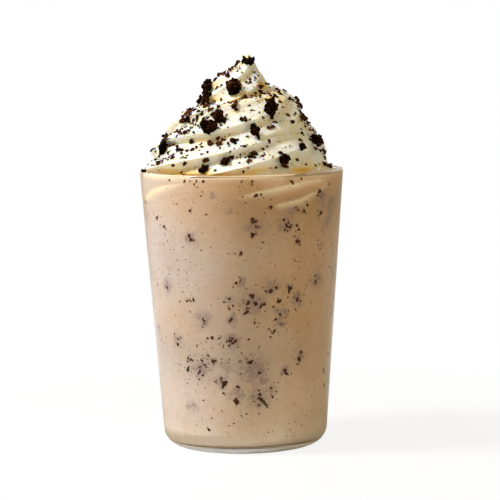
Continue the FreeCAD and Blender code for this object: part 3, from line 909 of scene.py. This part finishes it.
def stored(tree, name, kind="FLOAT"):
    """A value that the mesh already carries."""
    return Field(node(tree, "GeometryNodeInputNamedAttribute", data_type=kind, Name=name))


def make_placed_lumps():
    """Lumps on given points, which carry their own size and the way they face."""
    tree, given, result = new_tree("lumps_on_points", LUMP_INPUTS)
    facing = stored(tree, "facing", "FLOAT_VECTOR")
    feed(result, lumps(tree, given, given["Mesh"], stored(tree, "size"), facing))
    return tree


def make_strewn_lumps():
    """Lumps strewn over a surface, as thick as its painted cover says."""
    sizes = {"Density": NUMBER, "Smallest": NUMBER, "Largest": NUMBER, "Small share": NUMBER}
    tree, given, result = new_tree("lumps_strewn", {**sizes, **LUMP_INPUTS})
    strewn = node(
        tree, "GeometryNodeDistributePointsOnFaces", Mesh=given["Mesh"], Seed=given["Seed"],
        Density=stored(tree, "cover") * given["Density"],
    )
    pick = Field(chance_value(tree, given["Seed"], 0.0, 1.0)) ** given["Small share"]
    size = given["Smallest"] + pick * (given["Largest"] - given["Smallest"])
    feed(result, lumps(tree, given, strewn, size, strewn.outputs["Normal"]))
    return tree


lumps_on_points = make_placed_lumps()
lumps_strewn = make_strewn_lumps()


def place_mesh(name, sites):
    """Loose points that carry a size and the way they face, from (place, size, facing)."""
    places, sizes, facings = zip(*sites)
    mesh = bpy.data.meshes.new(name)
    mesh.from_pydata([tuple(place) for place in places], [], [])
    paint(mesh, "size", sizes)
    layer = mesh.attributes.new("facing", "FLOAT_VECTOR", "POINT")
    layer.data.foreach_set("vector", np.asarray(facings, dtype=np.float32).ravel())
    return mesh


print("recipes:", lumps_on_points.name, lumps_strewn.name)

# %% [markdown]
# ### The bits in the drink
# Each bit is a flat flake pressed against the wall. It stands out from the milk by a few
# hundredths of a millimetre, inside the glass wall, which is what makes it look sharp. A
# larger bit has lost a few small ones, which lie round it.
# %% Bits
BIT_SIZE = 0.92                     # the flakes' share of the sizes listed
LARGE_BIT, LOST_BY_LARGE, LOST_BY_SMALL = 1.0, (1, 2, 3, 4), (0, 0, 1)


def wall_site(azimuth, height, size):
    """A point of the drink's side, a size, and the way that the side faces there."""
    angle, height = math.radians(azimuth), height * MM
    radius = drink_radius(height)
    facing = Vector((math.cos(angle), math.sin(angle), -SLOPE)).normalized()
    place = Vector((radius * math.cos(angle), radius * math.sin(angle), height))
    return place, size * BIT_SIZE * MM, facing


chance = random.Random(31)
small_bits = []
for azimuth, height, size in drink_bits:
    for _ in range(chance.choice(LOST_BY_LARGE if size > LARGE_BIT else LOST_BY_SMALL)):
        aside, above = chance.gauss(0, 2.2), chance.gauss(0, 1.2)
        small_bits.append((azimuth + aside, height + above, chance.uniform(0.35, 1.0)))
drink_bits += [bit for bit in small_bits if 6 < bit[1] < level - 0.8]
wet_bit = cookie_material(
    "wet_cookie_bit", 0.0, 0.3, Grain_size=0.35 * MM, Brown_share=0.4,
    Dark=(0.050, 0.012, 0.004, 1), Brown=(0.21, 0.060, 0.020, 1),
)
bits = grow("cookie_bits_in_drink", lumps_on_points, {
    "Lift": 0.06, "Flatness": 0.30, "Unevenness": 2.6 * MM, "Noise size": 0.8 * MM,
    "Cell size": 0.7 * MM, "Gathering": 0.40, "Facets": 2, "Seed": 5, "Finish": wet_bit,
}, place_mesh("bit_points", [wall_site(*bit) for bit in drink_bits]))

# %% [markdown]
# The brown specks are too many to place. They are strewn over the drink's side, thicker in
# some clouds and round the smudges.
# %% Specks
speck_finish = cookie_material(
    "brown_speck", 0.05, 0.2, Grain_size=0.3 * MM, Brown_share=0.7,
    Dark=(0.11, 0.036, 0.012, 1), Brown=(0.36, 0.13, 0.05, 1),
)
speck_base = drink.data.copy()
cloud = np.array([noise.noise(Vector(p) / (16 * MM)) for p in points])
cover = np.clip(0.45 + 0.9 * cloud + 0.5 * smudge_field, 0.06, 1) * on_side
cover[(heights > level - 1) | (heights < 5.5)] = 0
paint(speck_base, "cover", cover)
specks = grow("specks_in_drink", lumps_strewn, {
    "Density": 2.4e5, "Smallest": 0.2 * MM, "Largest": 0.9 * MM, "Small share": 3.0,
    "Lift": 0.04, "Flatness": 0.3, "Unevenness": 0.2 * MM, "Noise size": 0.3 * MM,
    "Cell size": 0.3 * MM, "Gathering": 0.2, "Facets": 1, "Seed": 8, "Finish": speck_finish,
}, speck_base)

for piece in (bits, specks):
    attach(piece, "root")

# %% [markdown]
# ## The whipped cream
# The swirl is one thick rope of cream, laid in a climbing spiral that shrinks to a bud. The
# star nozzle gives the rope six ridges, and they climb faster than the rope does, so each
# shows as a lit ledge above and a hanging edge with a groove below. That is a rule, so a
# tree builds it: a flat grid is rolled round the axis, and its columns climb with the
# ridges, so that every edge is smooth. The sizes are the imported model's, in millimetres.
# %% The swirl's sizes
SWIRL = {
    "Height": 49.5,
    "Level": LEVEL / MM,
    "Widest": 40.187,
    "Coil pitch": 16.0,
    "Flute rise": 51.0,
    "Flute depth": 4.3,
    "Droop": 1.0,
    "Coil swell": 1.75,
    "Tip shift": 1.7,
    "Base sag": 1.6,
    "Tip radius": 0.9,
    "Ridge turn": 12.0,
    "Bud slimming": 0.26,
}
FLUTES = 6
SEAM_BAND, SEAM_START, SEAM_STEP, BUD_STEP, SEAM_SHIFT = 0.10, 2.44, 0.14, 0.18, 0.22
TAPER_POWER, LOW_INSET, FULL_SIZE_RADIUS = 1.53, 0.5, 14.0
SLIM_START, SLIM_END = 1.40, 1.58     # turns of rope over which it thins to the bud
LEDGE_SHARE, GROOVE_POWER, LEDGE_POWER, RIDGE_SHARE = 0.45, 2.0, 1.2, 0.75
UNDERSIDE_ROWS = 3                  # the sunk middle's rows, below the swirl's own
DRAG_LINES, DRAG_DEPTH = 4, 0.05    # faint lines along each ledge, from the nozzle's edge
FREE_BELOW, FREE_ABOVE = 3.0, 4.0   # the ridges droop except so near the bottom and the tip
SOFTNESS = [(11 * MM, 0.35 * MM), (3.2 * MM, 0.10 * MM), (1.1 * MM, 0.03 * MM)]
print("the swirl is", SWIRL["Height"], "mm high")


# %% The swirl's recipe
def push_out(tree, geometry, layers):
    """Move a surface in and out along its normals by layers of noise: (size, depth)."""
    total = 0.0
    for size, depth in layers:
        cloud = Field(node(tree, "ShaderNodeTexNoise", Scale=1 / size, Detail=2.0))
        total = (cloud - 0.5) * (2 * depth) + total
    normal = node(tree, "GeometryNodeInputNormal")
    return moved(tree, geometry, Offset=scaled(tree, normal, total))


def make_swirl_tree():
    inputs = {name: NUMBER for name in SWIRL}
    inputs.update({"Steps round": WHOLE, "Steps up": WHOLE, "Finish": MATERIAL})
    tree, given, result = new_tree("whipped_swirl", inputs)
    top, pitch, rise, steps_up = (
        given[name] for name in ("Height", "Coil pitch", "Flute rise", "Steps up")
    )
    grid = node(
        tree, "GeometryNodeMeshGrid", Size_X=1.0, Size_Y=1.0, Vertices_X=given["Steps round"],
        Vertices_Y=steps_up,
    )
    flat = node(tree, "ShaderNodeSeparateXYZ", node(tree, "GeometryNodeInputPosition")).outputs
    row = (Field(flat["Y"]) + 0.5) * (steps_up - 1.0)
    height = between((row - UNDERSIDE_ROWS) / (steps_up - (UNDERSIDE_ROWS + 2.0)), 0.0, 1.0) * top
    around = Field(flat["X"]) + 0.5 + height / rise
    azimuth = around * TURN

    # where a point lies across the rope, and how far round its coil
    climb = (height - SEAM_START) / pitch - around
    across = climb.math("FRACT")
    joined = 1.0 - smooth(0.0, SEAM_BAND, across)
    coil = climb.math("FLOOR") - joined

    # the mean radius shrinks upwards, partly in steps where one coil lies on the next
    step = smooth(top * 0.2, top * 0.7, height) * BUD_STEP + SEAM_STEP
    stepped = height + step * pitch * (0.5 - across - joined)
    share = between(stepped / top, 0.0, 1.0)
    tip = given["Tip radius"]
    radius = tip + (given["Widest"] - tip - LOW_INSET) * (1.0 - share ** TAPER_POWER)
    scale = (radius / FULL_SIZE_RADIUS).math("MINIMUM", 1.0)
    fullness = sine(across * math.pi).math("ABSOLUTE") ** 0.8 - 0.7
    radius = radius + given["Coil swell"] * scale * fullness

    # the ridges: 1 on a ridge's edge and 0 in its groove
    wander = sine(azimuth * 2.0 + 1.3) * 0.10 + sine(azimuth * 3.0 - height / 7.0) * 0.08
    flutes = (around + given["Ridge turn"] / 360.0 - height / rise) * FLUTES
    flow = flutes + (around + coil) * SEAM_SHIFT + wander
    down = flow.math("FRACT")
    groove = 1 - LEDGE_SHARE
    under = between(1.0 - down / groove, 0.0, 1.0) ** GROOVE_POWER
    ledge = between((down - groove) / LEDGE_SHARE, 0.0, 1.0) ** LEDGE_POWER
    ridge = under + ledge
    depth = given["Flute depth"] * scale * (sine(azimuth - 3.0 + height / 9.0) * 0.25 + 0.85)
    radius = between(radius + depth * (ridge - RIDGE_SHARE), 0.2, given["Widest"])
    drag = sine(flow * (TURN * DRAG_LINES) + sine(azimuth * 2.0 + height / 5.0) * 1.6)
    radius = radius + drag * scale * DRAG_DEPTH
    radius = radius * (1.0 - given["Bud slimming"] * smooth(SLIM_START, SLIM_END, coil + around))

    free = smooth(0.0, FREE_BELOW, height) * smooth(top, top - FREE_ABOVE, height)
    droop = given["Droop"] * scale * ridge * ridge * free
    lean = smooth(0.0, top * 0.16, height) * smooth(top * 0.36, top * 0.18, height)
    shift = given["Tip shift"] * smooth(top * 0.1, top * 0.95, height) - given["Base sag"] * lean

    # rows 0 to 2 are the sunk middle under the swirl, and the last row closes the tip
    on_swirl = row.math("GREATER_THAN", 2.5) * row.math("LESS_THAN", steps_up - 1.5)
    at_bottom, at_level = row.math("COMPARE", 1.0, 0.4), row.math("COMPARE", 2.0, 0.4)
    radius = radius * on_swirl + at_bottom * (SINK_BOTTOM / MM) + at_level * (SINK_TOP / MM)
    sunk = row.math("LESS_THAN", 1.5) * (SINK_DEPTH / MM)
    place = node(
        tree, "ShaderNodeCombineXYZ", (radius * azimuth.math("COSINE") + shift) * MM,
        radius * sine(azimuth) * MM, (given["Level"] + height - droop - sunk) * MM,
    )
    seam = 1.0 - smooth(0.02, 0.20, across) + smooth(0.94, 1.0, across)
    made = grid
    # groove and seam are read by the finish, for painted butter-yellow shade
    for name, value in (
        ("groove", (1.0 - ridge) * on_swirl), ("seam", seam * on_swirl * smooth(22.0, 32.0, height))
    ):
        made = node(tree, "GeometryNodeStoreNamedAttribute", Geometry=made, Name=name, Value=value)
    made = moved(tree, made, Position=place)
    made = node(tree, "GeometryNodeMergeByDistance", Geometry=made, Distance=1e-6)
    made = node(tree, "GeometryNodeSetShadeSmooth", Geometry=push_out(tree, made, SOFTNESS))
    feed(result, node(tree, "GeometryNodeSetMaterial", Geometry=made, Material=given["Finish"]))
    return tree


# %% [markdown]
# Whipped cream is a foam of fat: light goes in, scatters, and comes out warmer, so thin
# edges glow and shadows turn to butter. Its surface is soft and a little moist, with tiny
# bubbles. The grooves, the seams between coils and the lowest band above the drink are given
# butter-yellow as painted shade, by the values painted in the tree and by height.
# %% Cream finish and the swirl
CREAM_WHITE, CREAM_WARM = (0.94, 0.91, 0.81, 1), (0.94, 0.87, 0.68, 1)
# painted shade: the butter and gold colours; the deep colour is a painted shadow
CREAM_BUTTER_SHADE, CREAM_GOLD_SHADE = (0.90, 0.68, 0.30, 1), (0.86, 0.58, 0.12, 1)
CREAM_DEEP_SHADOW = (0.34, 0.13, 0.015, 1)
# painted shade: the lowest band above the drink turns butter-yellow
LOW_SHADE_BAND = (2.0 * MM, 4.6 * MM)     # above the drink, where the lowest cream turns to butter
FOAM_SIZE, BUBBLE_SIZE, BUTTER_SIZE = 0.9 * MM, 1.3 * MM, 9 * MM


def cream_material():
    material, tree, shader = new_material(
        "whipped_cream", Subsurface_Weight=1.0, Subsurface_Radius=(1.0, 0.8, 0.4),
        Subsurface_Scale=1.6 * MM, Specular_IOR_Level=0.35,
    )
    height = Field(node(tree, "ShaderNodeSeparateXYZ", object_place(tree)).outputs["Z"])
    # painted shade: butter-yellow in the grooves, the seams between coils and the lowest band
    low = 1.0 - smooth(LEVEL + LOW_SHADE_BAND[0], LEVEL + LOW_SHADE_BAND[1], height)
    fold_shade = smooth(0.6, 1.0, attribute(tree, "groove")) * 0.4 + attribute(tree, "seam") * 0.7 + low
    butter_shade = between(fold_shade, 0.0, 1.0) * smooth(0.40, 0.62, cloud_of(tree, BUTTER_SIZE))
    # painted shade: gold in the crevices, and above 1 a deeper painted shadow
    golden_shade = attribute(tree, "shade_pool")
    colour = patches_of(tree, CREAM_WHITE, CREAM_WARM, 14 * MM, 0.7)
    for share, shade in ((butter_shade, CREAM_BUTTER_SHADE), (golden_shade, CREAM_GOLD_SHADE), (golden_shade - 1.0, CREAM_DEEP_SHADOW)):
        colour = colour_mix(tree, between(share, 0.0, 1.0), colour, shade)
    foam = cloud_of(tree, FOAM_SIZE, Detail=4.0)
    feed(shader, Base_Color=colour, Roughness=remap(tree, foam, 0.35, 0.7, 0.36, 0.58))
    bubbles = node(tree, "ShaderNodeTexVoronoi", Vector=object_place(tree), Scale=1 / BUBBLE_SIZE)
    bump(tree, shader, foam + smooth(0.0, 0.22, Field(bubbles)) * 0.35, 0.35, 0.12 * MM)
    return material


cream = grow("whipped_cream_swirl", make_swirl_tree(), {
    **SWIRL, "Steps round": 505, "Steps up": 176, "Finish": cream_material(),
})
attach(cream, "root")
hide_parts("whipped_cream")

shape = bmesh.new()
shape.from_mesh(cream.data)
print(f"{shape.calc_volume() * 1e6:.1f} cm3, open edges {sum(e.is_boundary for e in shape.edges)}")
shape.free()
cream_surface = BVHTree.FromObject(cream, bpy.context.evaluated_depsgraph_get())

# %% [markdown]
# Golden painted shade lies in the crevices: at the rim, and in the folds round the bud. A
# strength of more than 1 is a deeper gold, a painted shadow. Each pool is (degrees, height
# in mm, half-width round in mm, half-width up in mm, strength).
# %% Golden painted shade
GOLDEN_SHADE_POOLS = [
    (241, 2.6, 11, 0.9, 0.35), (311, 2.4, 6, 1.1, 1.4), (318, 4.2, 4, 2, 0.45),
    (242, 1.3, 13, 0.9, 2.2), (338, 36.3, 3, 2.2, 1), (198, 31, 4, 1.5, 0.7),
    (250, 31, 12, 1, 0.55), (276, 33.4, 6, 1.2, 0.6), (321, 30.3, 4, 1.4, 0.7),
    (339, 20, 3, 3, 0.6), (236, 15, 9, 1, 0.35), (178, 37, 3, 2.5, 0.6), (30, 3, 9, 1, 0.8),
    (75, 31, 10, 1.2, 0.6), (110, 36, 4, 2, 0.8), (150, 2.8, 10, 1, 0.7),
]

cream_points = point_values(cream.data, "co")
swirl_azimuths = np.degrees(np.arctan2(cream_points[:, 1], cream_points[:, 0]))
swirl_heights = (cream_points[:, 2] - LEVEL) / MM
swirl_radii = np.hypot(cream_points[:, 0], cream_points[:, 1]) / MM


def spread_round(patches):
    """How strongly the patches cover each point of the cream, added up."""
    total = np.zeros(len(cream_points))
    for azimuth, height, wide, tall, most in patches:
        aside = round_from(swirl_azimuths, azimuth) * swirl_radii
        total += most * np.exp(-((aside / wide) ** 2) - ((swirl_heights - height) / tall) ** 2)
    return total


# painted shade: golden in the crevices at the rim and round the bud
paint(cream.data, "shade_pool", np.clip(spread_round(GOLDEN_SHADE_POOLS), 0, 2))
print(len(GOLDEN_SHADE_POOLS), "golden pools")

# %% [markdown]
# ## The larger cookie pieces
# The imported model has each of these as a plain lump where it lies. Real broken cookie is
# ragged all over, so each lump is remeshed finely and its surface is moved by layers of
# noise. Then it is pressed a little way into the cream, because cream gives.
# %% Crumbling the lumps
VOXEL = 0.30 * MM
PRESSED = 0.9 * MM
CRUMBLE = [(3.4 * MM, 1.5 * MM), (1.0 * MM, 0.4 * MM)]
GRAIN_CELL, GRAIN_STEP, GRAIN_GAP = 1.9 * MM, 1.3 * MM, 0.45 * MM
LOST_SHARE = 0.085                  # of its half length: what has crumbled off all round
NEXT_PLACE = (31.7, -17.3, 5.9)     # how far on in the noise each piece lies, in millimetres


def ragged(place):
    """How far out the broken surface is at a place in the noise, in metres."""
    total = sum(depth * noise.noise(place / size) for size, depth in CRUMBLE)
    # the stuff breaks into blocks, each standing out by its own amount, with gaps between
    distances, middles = noise.voronoi(place / GRAIN_CELL)
    block = GRAIN_STEP * noise.noise(middles[0] * 5.3)
    gap = 1.0 - min((distances[1] - distances[0]) * 3.0, 1.0)
    return total + block - GRAIN_GAP * gap


def crumbled(name, source, seed):
    """A ragged piece of cookie from a plain lump."""
    shape = bmesh.new()
    shape.from_mesh(source.data)
    bmesh.ops.remove_doubles(shape, verts=shape.verts, dist=1e-6)
    mesh = bpy.data.meshes.new(name)
    shape.to_mesh(mesh)
    shape.free()
    piece = put(name, mesh)
    remesh = piece.modifiers.new("remesh", "REMESH")
    remesh.mode, remesh.voxel_size = "VOXEL", VOXEL
    fine = baked(piece, remesh)
    places = point_values(fine, "co")
    middle = Vector(places.mean(axis=0))
    press = (cream_surface.find_nearest(middle)[0] - middle).normalized() * PRESSED
    offset = Vector([seed * step * MM for step in NEXT_PLACE])
    lost = LOST_SHARE * np.linalg.norm(places - places.mean(axis=0), axis=1).max()
    normals = [vertex.normal.copy() for vertex in fine.vertices]
    for vertex, normal in zip(fine.vertices, normals):
        vertex.co += normal * (ragged(vertex.co + offset) - lost) + press
    fine.shade_smooth()
    fine.materials.clear()
    return piece


cookie_finish = cookie_material("broken_cookie", 0.02, 0.9, Grain_size=0.8 * MM, Brown_share=0.35)
faces = 0
for seed, node_name in enumerate(sorted(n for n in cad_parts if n.startswith("cookie")), 1):
    piece = crumbled(f"broken_{node_name}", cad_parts[node_name], seed)
    piece.data.materials.append(cookie_finish)
    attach(piece, "root")
    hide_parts(node_name)
    faces += len(piece.data.polygons)
print("cookie pieces have", faces, "faces")

# %% [markdown]
# ## Crumbs
# The crumbs of one to three millimetres lie where they fell, so each has its own place:
# (degrees round the swirl, height above the drink in mm, size in mm). A line shot inwards at
# that place finds the cream. Smaller ones lie in loose groups round them, and a few lie on
# the rim. Those on the far side are strewn by chance, with a fixed seed.
# %% Where the crumbs lie
FRONT_CRUMBS = [
    (186, 31, 3), (183, 29.3, 2.4), (187, 42, 1.3), (226, 43.1, 1.5), (287, 46.3, 1.9),
    (271, 43.8, 1.3), (277, 42.2, 1), (320, 42.1, 1.3), (311, 39.7, 1.1), (279, 31.6, 2.1),
    (288, 38.4, 0.8), (252, 44.8, 1.3), (227, 39, 0.8), (331, 36.2, 1.5), (326, 35.6, 1.9),
    (7, 35.5, 0.8), (346, 37.3, 1.1), (208, 22.6, 3.2), (213, 26.4, 1.5), (199, 24.4, 1.1),
    (225, 18.9, 1.7), (216, 20.4, 1.1), (195, 15.7, 2.3), (194, 14.7, 1.5), (246, 13.9, 3),
    (254, 13.6, 2.3), (228, 14.5, 1.9), (208, 12.8, 1.7), (219, 10.9, 2.1), (227, 9.6, 1.1),
    (211, 5.4, 1.7), (211, 6.3, 1.1), (219, 7.2, 1.3), (236, 11.9, 1.5), (264, 15.1, 2.3),
    (261, 14, 1.3), (268, 15.3, 1.3), (264, 28.9, 2.5), (266, 27.6, 1.3), (259, 30, 1.1),
    (273, 23.3, 2.3), (290, 24.1, 1.3), (297, 20.3, 1.9), (294, 19.6, 1.1), (315, 29.9, 1.3),
    (317, 21.9, 1.5), (345, 22.6, 1.7), (325, 17, 1.3), (331, 16.3, 1.1), (337, 10.1, 1.5),
    (337, 19.3, 0.8), (349, 28.2, 1.9), (337, 26.7, 1.3), (345, 30.6, 2), (310, 25.7, 0.8),
    (355, 32.9, 1.3), (279, 9.6, 2.8), (276, 8.7, 1.7), (282, 8.2, 1.1), (270, 12.7, 0.8),
    (311, 6.5, 0.8), (271, 2.7, 1.5), (357, 1.8, 2.5), (354, 3.2, 1.3), (328, 4.4, 0.8),
    (239, 4.2, 1.1), (229, 28.5, 1.3), (239, 27.5, 1.5), (246, 25.1, 1.9), (246, 22.2, 1.7),
    (252, 23.1, 1.3), (239, 21.2, 1.5), (225, 24.6, 1.1), (230, 26.5, 1.3), (252, 20.2, 1.1),
    (257, 22.1, 0.8), (261, 17.4, 1.1), (248, 10.5, 1.3), (263, 11.1, 0.8), (254, 3.4, 0.8),
    (181, 10.3, 1.3), (185, 9.9, 1.1), (195, 11.8, 1.3), (218, 36.9, 1.1), (247, 34.9, 1.3),
    (169, 36.4, 1.3), (299, 32.3, 1.1), (318, 32.1, 1.3), (295, 27.3, 1.5), (303, 26.8, 1.3),
    (317, 27.6, 0.8), (1, 23.8, 1.1), (1, 23, 0.8), (325, 24.4, 0.8), (344, 17.6, 1.5),
    (350, 11.1, 1.5), (352, 10.1, 1.1), (274, 6.3, 1.1), (192, 2.8, 0.8), (224, 5.6, 1.1),
    (234, 8.3, 0.8), (207, 10.1, 0.8), (306, 12.5, 0.8), (300, 14.2, 0.8), (302, 21.7, 0.8),
]
# (degrees, size in mm)
RIM_CRUMBS = [
    (183, 1.3), (187, 0.8), (193, 1.6), (197, 1.0), (203, 0.8), (351, 1.0), (24, 1.2), (75, 0.9),
    (128, 1.3),
]
# (degrees, height in mm, spread in mm, how many)
CLUSTERS = [
    (233, 24, 3.8, 22), (214, 24, 3.8, 16), (206, 17, 3, 8), (244, 45, 1.8, 5), (226, 41, 2, 4),
    (344, 27, 2.4, 8), (346, 21, 2.6, 7), (196, 28, 3.4, 7), (206, 7, 4.4, 10), (236, 11, 3.6, 12),
    (274, 10, 2.8, 12), (350, 4, 2.6, 5), (345, 9, 2.4, 5), (20, 27, 4, 12), (70, 33, 4, 12),
    (92, 20, 5, 12), (135, 27, 4, 12), (48, 12, 5, 10), (115, 8, 5, 8), (158, 16, 4, 8),
]


FAR_OUT, USUAL_REACH = 0.1, 0.03    # where lines start, and the cream's radius if one misses
BACK_LARGEST, CLUSTER_LARGEST = 2.2, 1.3    # over the smallest size, in millimetres
FLATTER = Vector((0, 0, 0.5))       # crumbs lie flatter than the cream under them


def swirl_site(azimuth, height):
    """The cream's surface at a place, and the way it faces there."""
    angle = math.radians(azimuth)
    inwards = Vector((-math.cos(angle), -math.sin(angle), 0))
    start = Vector((0, 0, LEVEL + height * MM)) - inwards * FAR_OUT
    return cream_surface.ray_cast(start, inwards)[:2]


def back_crumb(chance, azimuth):
    size = 0.8 + BACK_LARGEST * chance.random() ** 2.2
    return azimuth, 46 * chance.random() ** 1.35 + 1.0, size


def cluster(chance, azimuth, height, spread, count):
    """Small crumbs round a place, in millimetres: spread is how far they lie."""
    reach = (swirl_site(azimuth, height)[0] or Vector((USUAL_REACH, 0, 0))).xy.length / MM
    made = []
    for _ in range(count):
        aside, above = chance.gauss(0, spread), chance.gauss(0, spread * 0.8)
        size = 0.7 + CLUSTER_LARGEST * chance.random() ** 2
        made.append((azimuth + math.degrees(aside / reach), min(max(height + above, 1), 47), size))
    return made


chance = random.Random(41)
clustered = [crumb for row in CLUSTERS for crumb in cluster(chance, *row)]
crumb_sites = []
far_side = scattered_round(seed=23, count=95, first=2, last=168, make=back_crumb)
for azimuth, height, size in FRONT_CRUMBS + clustered + far_side:
    place, facing = swirl_site(azimuth, height)
    if place is not None:
        crumb_sites.append((place, size * MM, (facing + FLATTER).normalized()))
reach = RIM_RADIUS - WALL / 2
for azimuth, size in RIM_CRUMBS:
    angle = math.radians(azimuth)
    place = Vector((reach * math.cos(angle), reach * math.sin(angle), GLASS_HEIGHT))
    crumb_sites.append((place, size * MM, Vector((0, 0, 1))))
print(len(crumb_sites), "crumbs")

# %% Making the crumbs
SMALL = 1.4 * MM                    # crumbs under this need fewer faces

crumb_finish = cookie_material(
    "cookie_crumb", 0.02, 0.7, Grain_size=0.5 * MM, Brown_share=0.6,
    Dark=(0.010, 0.003, 0.001, 1), Brown=(0.17, 0.055, 0.018, 1),
)
crumb_pieces = []
for name, facets, sites in (
    ("cookie_crumbs", 3, [site for site in crumb_sites if site[1] >= SMALL]),
    ("small_crumbs", 2, [site for site in crumb_sites if site[1] < SMALL]),
):
    crumb_pieces.append(grow(name, lumps_on_points, {
        "Lift": 0.16, "Flatness": 0.80, "Unevenness": 2.6 * MM, "Noise size": 1.0 * MM,
        "Cell size": 1.0 * MM, "Gathering": 0.6, "Facets": facets, "Seed": 3, "Finish": crumb_finish,
    }, place_mesh(f"{name}_points", sites)))

# %% [markdown]
# ## Grit and dust
# Between the crumbs lie far more grains than anyone would place by hand. They gather where
# the crumbs are and on the ledges, and hardly any cling under a hanging edge. So each point
# of the cream is painted with how thickly it is covered, and the lumps follow that.
# %% Cover
# Each patch is (degrees, height in mm, half-width round in mm, half-width up in mm, cover).
PATCHES = [
    (218, 25, 11, 6, 1.0), (232, 44, 5, 5, 0.4), (262, 33, 12, 4, 0.12), (344, 27, 5, 4, 0.6),
    (350, 21, 6, 5, 0.7), (338, 15, 6, 5, 0.5), (208, 9, 16, 6, 0.7), (275, 10, 9, 4, 1.0),
    (246, 15, 10, 4, 0.5), (295, 24, 10, 5, 0.5), (305, 34, 6, 5, 0.7), (222, 20, 7, 5, 0.8),
    (300, 8, 8, 4, 0.4), (318, 36, 6, 4, 0.6), (20, 27, 10, 6, 0.8), (48, 12, 12, 6, 0.6),
    (72, 33, 8, 6, 0.9), (92, 20, 12, 6, 0.7), (118, 8, 12, 5, 0.5), (136, 27, 9, 6, 0.9),
    (158, 16, 9, 5, 0.6), (175, 36, 6, 5, 0.6), (110, 38, 6, 5, 0.5),
]
BARE_COVER = 0.03

cream_normals = point_values(cream.data, "normal")
cover = BARE_COVER + spread_round(PATCHES)
cover *= np.clip(0.35 + 1.1 * cream_normals[:, 2], 0.03, 1.2)
cover[swirl_heights < 0.3] = 0
paint(cream.data, "cover", np.clip(cover, 0, 1))
print(f"mean cover {cover.mean():.2f}")

# %% Strewing the grit and the dust
grit = grow("cookie_grit", lumps_strewn, {
    "Density": 2.7e5, "Smallest": 0.40 * MM, "Largest": 1.9 * MM, "Small share": 2.4,
    "Lift": 0.12, "Flatness": 0.80, "Unevenness": 1.5 * MM, "Noise size": 0.6 * MM,
    "Cell size": 0.7 * MM, "Gathering": 0.55, "Facets": 2, "Seed": 17, "Finish": crumb_finish,
}, cream.data.copy())
dust_finish = cookie_material(
    "cookie_dust", 0.05, 0.3, Grain_size=0.3 * MM, Brown_share=0.9,
    Dark=(0.030, 0.008, 0.002, 1), Brown=(0.20, 0.065, 0.020, 1),
)
dust = grow("cookie_dust", lumps_strewn, {
    "Density": 5.5e5, "Smallest": 0.12 * MM, "Largest": 0.48 * MM, "Small share": 1.6,
    "Lift": 0.10, "Flatness": 0.8, "Unevenness": 0.25 * MM, "Noise size": 0.2 * MM,
    "Cell size": 0.2 * MM, "Gathering": 0.2, "Facets": 1, "Seed": 29, "Finish": dust_finish,
}, cream.data.copy())
for piece in (*crumb_pieces, grit, dust):
    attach(piece, "root")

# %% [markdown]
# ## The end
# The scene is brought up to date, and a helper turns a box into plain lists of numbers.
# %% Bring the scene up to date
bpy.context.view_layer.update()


def plain(box):
    """A box as plain lists of numbers."""
    return [[float(value) for value in corner] for corner in box]
